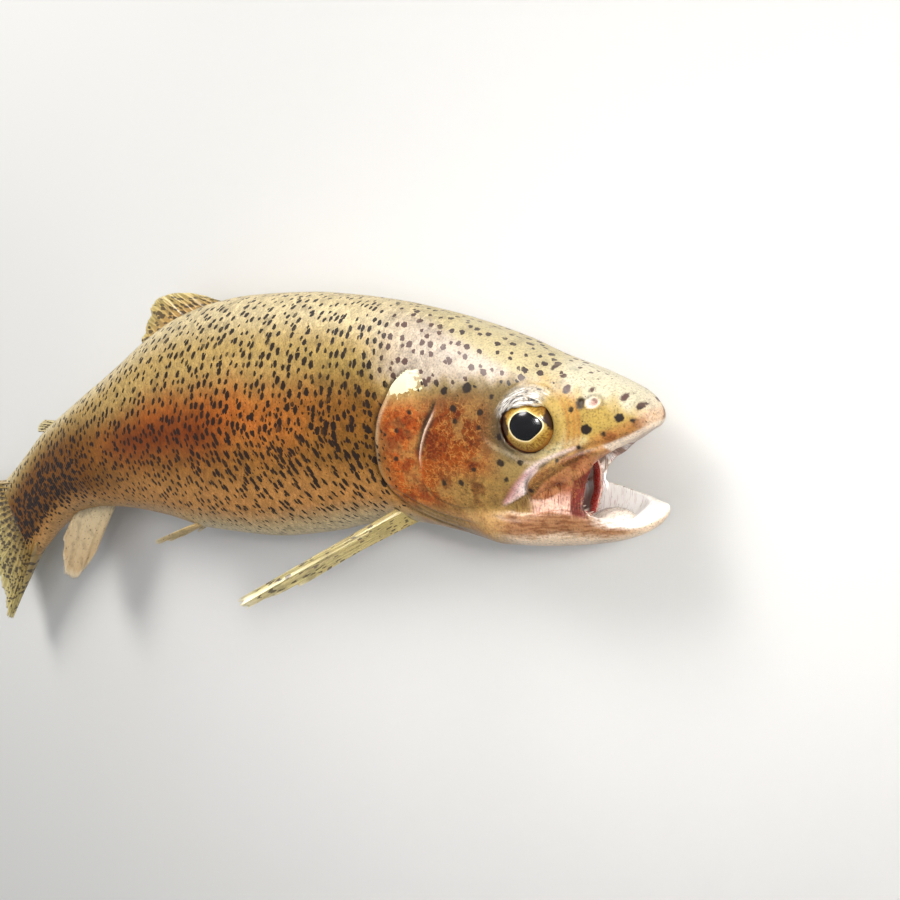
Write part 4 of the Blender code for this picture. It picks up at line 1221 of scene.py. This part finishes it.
def build_fin(name, material, root, margin, rays, inner=0.8, outer=0.16, fork=0.4, wave=0.5, sunk=0.14,
              tones=(), spot_size=0.3, spot_rise=2.0, rounded=0.0, turns=2.2, seed=0.0, plain=0.0):
    """A webbed fin with forking rays, from inside the body to a scalloped margin."""
    s = np.linspace(0, 1, rays * FIN_STEPS + 1)
    t = np.r_[np.linspace(-sunk, 0, 4)[:-1], np.linspace(0, 1, 40)]
    phase, tt = np.meshgrid(s * rays, t, indexing="ij")
    ray = ray_profile(phase, tt, fork)
    dips = 1 - ray_profile(s * rays, np.ones_like(s), fork)
    scallop = 1 - 0.022 * dips - rounded * np.abs(2 * s - 1) ** 3
    start, end = root(s), margin(s)
    middle = start[:, None] + (end - start)[:, None] * (scallop[:, None] * t)[..., None]
    normal = unit(np.cross(np.gradient(middle, axis=0), np.gradient(middle, axis=1)))
    out = np.clip(tt, 0, 1)
    ripple = (np.sin(phase * 2 * math.pi / turns + seed + 1.2 * tt)
              + 0.5 * np.sin(phase * 2 * math.pi / 1.37 + 2 * seed))
    middle = middle + normal * (wave * 0.5 * ripple * out ** 1.5)[..., None]
    half = inner / 2 + (outer - inner) / 2 * out ** 0.7
    half = half * (0.62 + 0.50 * (ray * (1 - .5 * plain) + .2 * plain))
    rim = between(np.minimum(np.minimum(s, 1 - s)[:, None] * rays * 2.2, (1 - tt) * 14), 0.0, 1.0)
    half = np.maximum(half * (0.25 + 0.75 * rim), 0.02)[..., None]
    verts = np.concatenate([(middle + normal * half * sign).reshape(-1, 3) for sign in (1, -1)])
    index = np.arange(tt.size).reshape(tt.shape)
    near = np.stack([index[:-1, :-1], index[1:, :-1], index[1:, 1:], index[:-1, 1:]], -1).reshape(-1, 4)
    loop = np.r_[index[0, :-1], index[:-1, -1], index[-1, :0:-1], index[:0:-1, 0]]
    after = np.roll(loop, -1)
    faces = np.concatenate([near, near[:, [0, 3, 2, 1]] + tt.size,
                            np.stack([loop, after, after + tt.size, loop + tt.size], -1)])
    flat_t = tt.ravel()
    tone = layered(tones[0], (tones[1], out.ravel()), (tones[2], 0.8 * between(flat_t, 0.90, 0.985)))
    distance = np.linalg.norm(end - start, axis=1)[:, None] * tt
    attributes = dict(
        tone=np.hstack([tone, np.ones((tt.size, 1))]),
        lie=np.stack([phase.ravel() + 0.5, distance.ravel() / spot_rise, np.ones(tt.size)], -1),
        size=spot_size * between(flat_t, 1.0, 0.86) * between(flat_t, -0.05, 0.10),
        ray=ray.ravel() * (1 - plain) + .32 * plain,
        fish=middle.reshape(-1, 3))
    both_sides = {label: np.concatenate([values, values]) for label, values in attributes.items()}
    return add_mesh(name, verts, faces, material, both_sides)


def fin_material():
    m = Surface("fin_skin")
    fish, lie = m.read("fish", "Vector"), m.read("lie", "Vector")
    tone, ray = m.read("tone", "Color"), m.read("ray")
    cloud = m.noise(fish, 0.35, 3.0)
    streak = m.noise(m.stretch(lie, (6.0, .5, 1)), 1.0, 3.0)
    joint = m.noise(m.stretch(lie, (1.5, 9.0, 1)), 1.0, 1.0)
    for by, mask in ((.55, m.step(cloud, .48, .70, 0, .7)),
                     (1.2, m.times(m.step(ray, .35, .9), m.step(streak, .3, .7, .4, 1.0))),
                     ((.80, .74, .64), m.step(ray, .30, .05, 0, .6)),
                     (.6, m.step(joint, .56, .66, 0, .35))):
        tone = m.tint(tone, by, mask)
    spot = m.spots(lie, m.read("size"), fish, .42, .80)
    tone = m.blend(tone, (.05, .03, .015), m.times(spot, .88))
    return m.finish(Base_Color=tone, Roughness=m.step(cloud, .3, .7, .30, .48),
                    Normal=m.bump(m.noise(fish, 3.0, 3.0), .35, .00015), Coat_Weight=.4, Coat_Roughness=.18)


def tail_root(s):
    """The end of the stem, from its top to its bottom."""
    high, low = BACK(1.0) * LENGTH - .3, BELLY(1.0) * LENGTH + .3
    return np.stack([1.002 * LENGTH - 1.5 * np.abs(2 * s - 1), high + (low - high) * s, 0 * s], -1)


# Every fin: name, root, margin, rays, and what differs from the usual. Its tones are those at the
# root, at the margin and of the margin's edge.
FINS = [
    ("dorsal_fin_skin", median((.455, .116), (.530, .108), (.612, .092)),
     median((.500, .1300), (.530, .1385), (.560, .1420), (.584, .1400), (.604, .120), (.623, .099)), 16,
     dict(inner=1.5, outer=.30, tones=((.42, .22, .07), (.47, .37, .13), (.56, .45, .20)), spot_size=.34,
          spot_rise=1.9, sunk=.5)),
    ("adipose_fin_skin", median((.812, .058), (.828, .057), (.842, .055)),
     median((.852, .0770), (.868, .0765), (.876, .0705)), 5,
     dict(inner=1.9, outer=.5, fork=2.0, wave=.1, tones=((.46, .36, .15), (.56, .48, .26), (.66, .60, .38)),
          spot_rise=2.4, sunk=.5)),
    ("anal_fin_skin", line((.742, -.055, 0), (.790, -.045, 0), (.846, -.038, 0)),
     line((.866, -.120, .010), (.897, -.122, .016), (.924, -.104, .015), (.922, -.072, .008)), 11,
     dict(inner=1.6, outer=.28, tones=((.50, .41, .25), (.44, .30, .15), (.60, .50, .34)), spot_size=.10,
          sunk=.3, wave=.35, rounded=.20, plain=.85)),
    ("pectoral_fin_right_skin", line((.236, -.068, .028), (.240, -.078, .024), (.244, -.086, .018)),
     line((.350, -.132, .147), (.352, -.139, .140), (.335, -.134, .118), (.315, -.124, .094)), 12,
     dict(inner=1.9, outer=.30, tones=((.40, .31, .11), (.50, .43, .20), (.66, .60, .40)), spot_size=.24,
          wave=1.3, turns=3.1, sunk=.22, spot_rise=2.6)),
    ("pectoral_fin_left_skin", line((.238, -.062, -.036), (.240, -.072, -.032), (.242, -.080, -.026)),
     line((.385, -.066, -.054), (.392, -.078, -.0515), (.380, -.092, -.0450), (.350, -.104, -.036)), 12,
     dict(inner=1.4, outer=.28, tones=((.52, .38, .12), (.62, .50, .22), (.75, .66, .42)), spot_size=.20,
          wave=.3, sunk=.10))]
FINS = [(*fin, dict(more, seed=k * 1.3)) for k, (*fin, more) in enumerate(FINS)]
FINS += [
    ("pelvic_fin_%s_skin" % word,
     line((.528, -.098, side * .016), (.536, -.100, side * .010), (.545, -.100, side * .004)),
     line((.635, -.118, side * .038), (.645, -.122, side * .030), (.632, -.122, side * .018),
          (.610, -.118, side * .008)), 9,
     dict(inner=1.3, outer=.28, tones=((.50, .33, .13), (.60, .46, .22), (.75, .66, .42)), spot_size=.12,
          wave=.4, seed=2.0 + side))
    for side, word in SIDES]
FINS += [
    ("caudal_fin_skin", tail_root,
     median((1.142, .106), (1.150, .094), (1.128, .045), (1.112, 0), (1.128, -.045), (1.150, -.094),
            (1.142, -.106)), 18,
     dict(inner=4.2, outer=.32, fork=.22, wave=1.0, turns=5.3, sunk=.16,
          tones=((.36, .23, .06), (.62, .52, .20), (.70, .60, .32)), spot_size=.36, spot_rise=2.2))]


# ---- eyes
PUPIL = (3.15, 2.7)             # half length and half height of the pupil, which points forward
PUPIL_AT = (0.05, 0.30)


def build_eye(side, word, material):
    """A ball flattened towards the head, with a raised lens and a rim round it."""
    rings, sides = 55, 96
    theta, phi = (grid.ravel() for grid in np.meshgrid(
        math.pi * np.linspace(0, 1, rings + 2)[1:-1] ** 1.25,
        np.linspace(0, 2 * math.pi, sides, endpoint=False), indexing="ij"))
    at = np.stack([BALL_RADIUS * np.sin(theta) * np.cos(phi), BALL_RADIUS * np.sin(theta) * np.sin(phi),
                   BALL_DEPTH * np.cos(theta)], 1)
    at = np.vstack([at, (0, 0, BALL_DEPTH), (0, 0, -BALL_DEPTH)])
    ahead, up, out = at.T
    from_pupil = np.hypot((ahead - PUPIL_AT[0]) / PUPIL[0], (up - PUPIL_AT[1]) / PUPIL[1])
    lens = 0.16 * np.sqrt(np.clip(1 - (from_pupil / 0.98) ** 2, 0, 1))
    ring = 0.10 * bell(from_pupil - 1.12, .10) - 0.06 * bell(from_pupil - .99, .05)
    lift = np.where(out > 0, lens + ring, 0) - 0.06
    placed = at * (1 + lift / np.linalg.norm(at, axis=1))[:, None]
    c, s = math.cos(EYE_FORWARD), math.sin(EYE_FORWARD)
    forward = placed[:, 0] * c + placed[:, 2] * s
    outward = placed[:, 2] * c - placed[:, 0] * s
    verts = np.stack([EYE_SEAT[0] - forward, placed[:, 1] + EYE_SEAT[1], side * (outward + EYE_SEAT[2])], 1)
    faces = [face[::-side] for face in tube_faces(rings, sides)]
    return add_mesh("eyeball_" + word, verts, faces, material, dict(eye_at=at))


def eye_material():
    m = Surface("eye_wet")
    at = m.read("eye_at", "Vector")
    x, y, z = m.split(at)
    x0, y0 = m.minus(x, PUPIL_AT[0]), m.minus(y, PUPIL_AT[1])
    point = m.step(x0, .2, 3.0, 1.0, 1.9)
    across = m.math("POWER", m.math("DIVIDE", x0, PUPIL[0]), 2.0)
    up = m.times(m.math("POWER", m.math("DIVIDE", y0, PUPIL[1]), 2.0), point)
    pupil = m.math("SQRT", m.plus(across, up))
    radius = m.length(x, y)
    spokes = m.node("CombineXYZ", (m.times(m.math("ARCTAN2", y, x), 7.0), m.times(radius, 1.3)))[0]
    fibres = m.noise(spokes, 1.5, 4.0)
    ragged = m.times(m.minus(m.noise(at, 0.9, 3.0), .5), 2.4)
    # dark at the rear and front of the ball: its own dark blotches, with painted shadow at the rear
    rear = m.minus(m.minus(-3.0, x), m.times(m.math("ABSOLUTE", m.plus(y, .1)), .55))
    front = m.minus(m.minus(x, 3.0), m.times(m.math("ABSOLUTE", m.minus(y, 1.3)), .6))
    blotch_and_shadow = m.math("MAXIMUM", m.step(m.plus(rear, ragged), -.25, .5),
                    m.step(m.plus(front, ragged), -.35, .4))
    pale_ring = m.step(m.math("ABSOLUTE", m.minus(pupil, 1.035)), .045, .015, 0, .7)
    iris = (.40, .24, .030)
    for tone, mask in (((.20, .085, .012), m.step(fibres, .35, .65)),
                       ((.60, .42, .10), m.step(pupil, 1.35, 1.08, 0, .6)),
                       ((.30, .11, .02), m.step(radius, 3.9, 4.6, 0, .85)),
                       ((.035, .015, .006), blotch_and_shadow),
                       ((.88, .80, .55), pale_ring),
                       ((.03, .015, .008), m.step(radius, 4.55, 5.1)),
                       ((.004, .004, .005), m.step(pupil, 1.0, .975)),
                       ((.5, .45, .40), m.step(z, .2, -.6))):
        iris = m.blend(iris, tone, mask)
    return m.finish(Base_Color=iris, Roughness=.25, Coat_Weight=.6, Coat_Roughness=.03, IOR=1.33)


# ---- what shows in the open mouth
ARCH_RED = (.24, .020, .014)
ARCH_EDGE = (.80, .52, .40)
RAKER_PALE = (.84, .74, .62)
TONGUE_PALE = (.82, .74, .64)


def swept(tone, path, radii, flat=0.6, sides=10, per_span=6):
    """A rod through points, flattened, with round ends: its vertices, faces and colour."""
    at = np.linspace(0, 1, per_span * (len(path) - 1) + 1)
    middle = smooth_path(path)(at)
    sizes = smooth_path(np.array(radii)[:, None])(at)
    ahead = unit(np.gradient(middle, axis=0))
    across = unit(np.cross(ahead, (0.0, 0.0, 1.0)))
    out = np.cross(across, ahead)
    turn = np.linspace(0, 2 * math.pi, sides, endpoint=False)[:, None]
    round_it = across[:, None] * np.cos(turn) + out[:, None] * np.sin(turn) * flat
    rings = middle[:, None] + sizes[:, None] * round_it
    return np.vstack([rings.reshape(-1, 3), middle[:1], middle[-1:]]), tube_faces(len(at), sides), tone


def mouth_piece(name, material, parts):
    """One mesh of several (vertices, faces, colour)."""
    faces, start = [], 0
    for verts, more, _ in parts:
        faces += [[start + k for k in face] for face in more]
        start += len(verts)
    verts = np.vstack([part[0] for part in parts])
    tones = np.vstack([np.tile((*tone, 1), (len(more), 1)) for more, _, tone in parts])
    return add_mesh(name, verts, faces, material, dict(tone=tones, fish=verts))


def build_arches(material):
    """Dark red gill arches with pale rakers, either side of a bar on the midline."""
    bar_v = (JAW_UNDERSIDE(0.5) * HEAD + JAW_FLOOR) + 0.052 * HEAD
    parts = [swept(WEB_PALE, [(15.5, bar_v - .6, 0), (20, bar_v, 0), (26, bar_v, 0), (31, bar_v, 0)],
                   [1.0, 1.2, 1.2, .9], .9)]
    for side, _ in SIDES:
        for base in (16.9, 20.9, 24.6):
            path = [(base + back, bar_v + rise, side * out) for back, rise, out in (
                (-.6, 0, .4), (.3, 1.8, 3.2), (.2, 4.4, 4.7), (-.1, 7.2, 4.6), (-.7, 9.9, 3.0))]
            edge = [(u - .92, v, w * .93) for u, v, w in path]
            parts += [swept(ARCH_RED, path, [.8, 1.0, 1.0, .95, .7], .62),
                      swept(ARCH_EDGE, edge, [.14, .20, .20, .18, .12], 1.0, 6)]
            for u, v, w in smooth_path(path)(np.arange(1, 10) / 10):
                raker = [(u - .6, v, w), (u - 1.9, v + .45, w * .80)]
                parts.append(swept(RAKER_PALE, raker, [.20, .07], 1.0, 6, 3))
    return mouth_piece("gill_arches_skin", material, parts)


def build_tongue(material):
    """The tongue: a flat pad on the jaw's floor, its edge a little raised and its top pitted."""
    rings, sides = 44, 40
    t = np.linspace(0, 1, rings)[:, None]
    a = np.linspace(0, 2 * math.pi, sides, endpoint=False)
    at = 0.13 + 0.20 * t
    half = (0.004 + 0.058 * np.sin(math.pi * (t * 0.86 + 0.05)) ** 0.7) * HEAD
    low = JAW_UNDERSIDE(at) * HEAD + 0.8 * JAW_FLOOR
    thick = (0.012 + 0.050 * np.sin(math.pi * (t * .8 + 0.06))) * HEAD
    top = np.maximum(np.sin(a), 0)
    grain = 0.06 * np.sin(9 * t * math.pi + 3 * np.cos(3 * a)) * top
    lift = 0.16 * np.abs(np.cos(a)) ** 3 * top + grain
    u = at * HEAD + 0 * a
    v, w = untwist(u, low + thick / 2 * (1 + np.sin(a)) + lift, half * np.cos(a), -1)
    verts = np.stack([u, v, w], -1).reshape(-1, 3)
    verts = np.vstack([verts, verts[:sides].mean(0), verts[-sides:].mean(0)])
    faces = [face[:1] + face[:0:-1] for face in tube_faces(rings, sides)]
    return mouth_piece("tongue_skin", material, [(verts, faces, TONGUE_PALE)])


def mouth_material():
    m = Surface("mouth_wet")
    fish = m.read("fish", "Vector")
    vein = m.noise(m.stretch(fish, (2.2, .7, 1.0)), 1.4, 4.0)
    tone = m.tint(m.read("tone", "Color"), (.62, .40, .36), m.step(vein, .50, .68, 0, .7))
    fine = m.noise(fish, 4.0, 3.0)
    return m.finish(Base_Color=tone, Roughness=m.step(fine, .3, .7, .20, .36), Normal=m.bump(fine, .4, .0002),
                    Coat_Weight=.8, Coat_Roughness=.10)


# ---- floor, light and camera
FLOOR_TONE = (.66, .655, .64)
FLOOR_REACH, FLOOR_DIP = 3.0, -0.0002
WORLD_TONE, WORLD_LIGHT = (.92, .95, 1, 1), 0.30
CAMERA_TURNS = ((0.167, "X"), (0.126, "Z"), (-0.683, "Y"))
CAMERA_SHIFT = (0.03642, 0.005595, -0.19187)
CAMERA_LENS = 44.284
FISH_MIDDLE = [(a + b) / 2 for a, b in zip(*CAD_BOX)]
JAW_MIDDLE = to_world([(5.0, -16.5, 0.0)])[0].tolist()


def put_in_scene(name, data):
    thing = bpy.data.objects.new(name, data)
    bpy.context.scene.collection.objects.link(thing)
    return thing


def place_camera():
    data = bpy.data.cameras.new("camera")
    data.lens, data.sensor_width, data.clip_start, data.clip_end = CAMERA_LENS, 36, 0.01, 20
    turn = Matrix.Identity(3)
    for angle, axis in CAMERA_TURNS:
        turn = turn @ Matrix.Rotation(angle, 3, axis)
    turn.transpose()
    thing = put_in_scene("camera", data)
    thing.matrix_world = Matrix.Translation(Vector(ORIGIN) - turn @ Vector(CAMERA_SHIFT)) @ turn.to_4x4()
    bpy.context.scene.camera = thing


def place_light(name, direction, distance, size, watts, tone, glossy=True, target=FISH_MIDDLE, spread=180):
    """A soft round light that looks at the fish's middle, or at a target."""
    data = bpy.data.lights.new(name, "AREA")
    data.shape, data.size, data.energy, data.color = "DISK", size, watts, tone
    data.spread = math.radians(spread)
    thing = put_in_scene(name, data)
    towards = Vector(direction).normalized()
    thing.location = Vector(target) + towards * distance
    thing.rotation_euler = towards.to_track_quat("Z", "Y").to_euler()
    thing.visible_glossy = glossy


def build_stage():
    floor = bpy.data.meshes.new("floor")
    corners = ((-1, -1), (1, -1), (1, 1), (-1, 1))
    floor.from_pydata([(x * FLOOR_REACH, y * FLOOR_REACH, FLOOR_DIP) for x, y in corners], [], [(0, 1, 2, 3)])
    m = Surface("floor")
    cloud = m.noise(m.node("TexCoord")["Object"], 3.0, 3.0)
    tone = m.blend(FLOOR_TONE, [c * 0.96 for c in FLOOR_TONE], m.step(cloud, .35, .65))
    floor.materials.append(m.finish(Base_Color=tone, Roughness=.75))
    put_in_scene("floor", floor)
    world = bpy.context.scene.world = bpy.data.worlds.new("studio")
    world.use_nodes = True
    for socket, value in zip(world.node_tree.nodes["Background"].inputs, (WORLD_TONE, WORLD_LIGHT)):
        socket.default_value = value


# ---- build everything
place_camera()
build_stage()
place_light("key", (-.10, .80, .62), 0.9, 0.45, 8.0, (1, .98, .94))
place_light("top", (.30, .10, .95), 1.0, 0.9, 2.6, (1, 1, 1), False)
place_light("sheen", (-.30, .93, .22), 0.9, 0.6, 2.0, (.93, .97, 1))
place_light("front", (.85, .25, .45), 1.0, 0.5, 2.4, (1, .97, .93))
place_light("mouth", (.72, .30, .62), 0.7, 0.15, 0.055, (1, .98, .95), True, JAW_MIDDLE, 16)
bpy.context.scene.view_settings.view_transform = "Standard"

skin_look = skin_material("trout_skin", False)
scale_look = skin_material("trout_scales", True)
fin_look = fin_material()
eye_look = eye_material()
mouth_look = mouth_material()

skin_verts, skin_faces = build_skin()
skin_u, skin_v, skin_w = skin_verts.T
skin_uv = skin_unwrap(skin_u, flank_share(skin_u, skin_v, skin_w), np.where(skin_w < 0, -1, 1))
skin = add_mesh("skin", skin_verts, skin_faces, skin_look,
                paint(skin_verts, outwardness(skin_verts, skin_faces)), skin_uv)
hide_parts("head", "lower_jaw", "maxilla_right", "maxilla_left", "gill_cover_right", "gill_cover_left",
            "trunk_front", "trunk_rear", "tail_stem")
made = [skin]
for scales in build_scales(scale_look):
    made.append(scales)
for name, root, margin, rays, more in FINS:
    fin = build_fin(name, fin_look, root, margin, rays, **more)
    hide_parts(name.replace("_skin", ""))
    made.append(fin)
for side, word in SIDES:
    eye = build_eye(side, word, eye_look)
    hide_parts("eye_" + word)
    made.append(eye)
arches = build_arches(mouth_look)
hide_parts("gill_arches")
tongue = build_tongue(mouth_look)
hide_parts("tongue")
made += [arches, tongue]
for piece in made:
    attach(piece, "root")
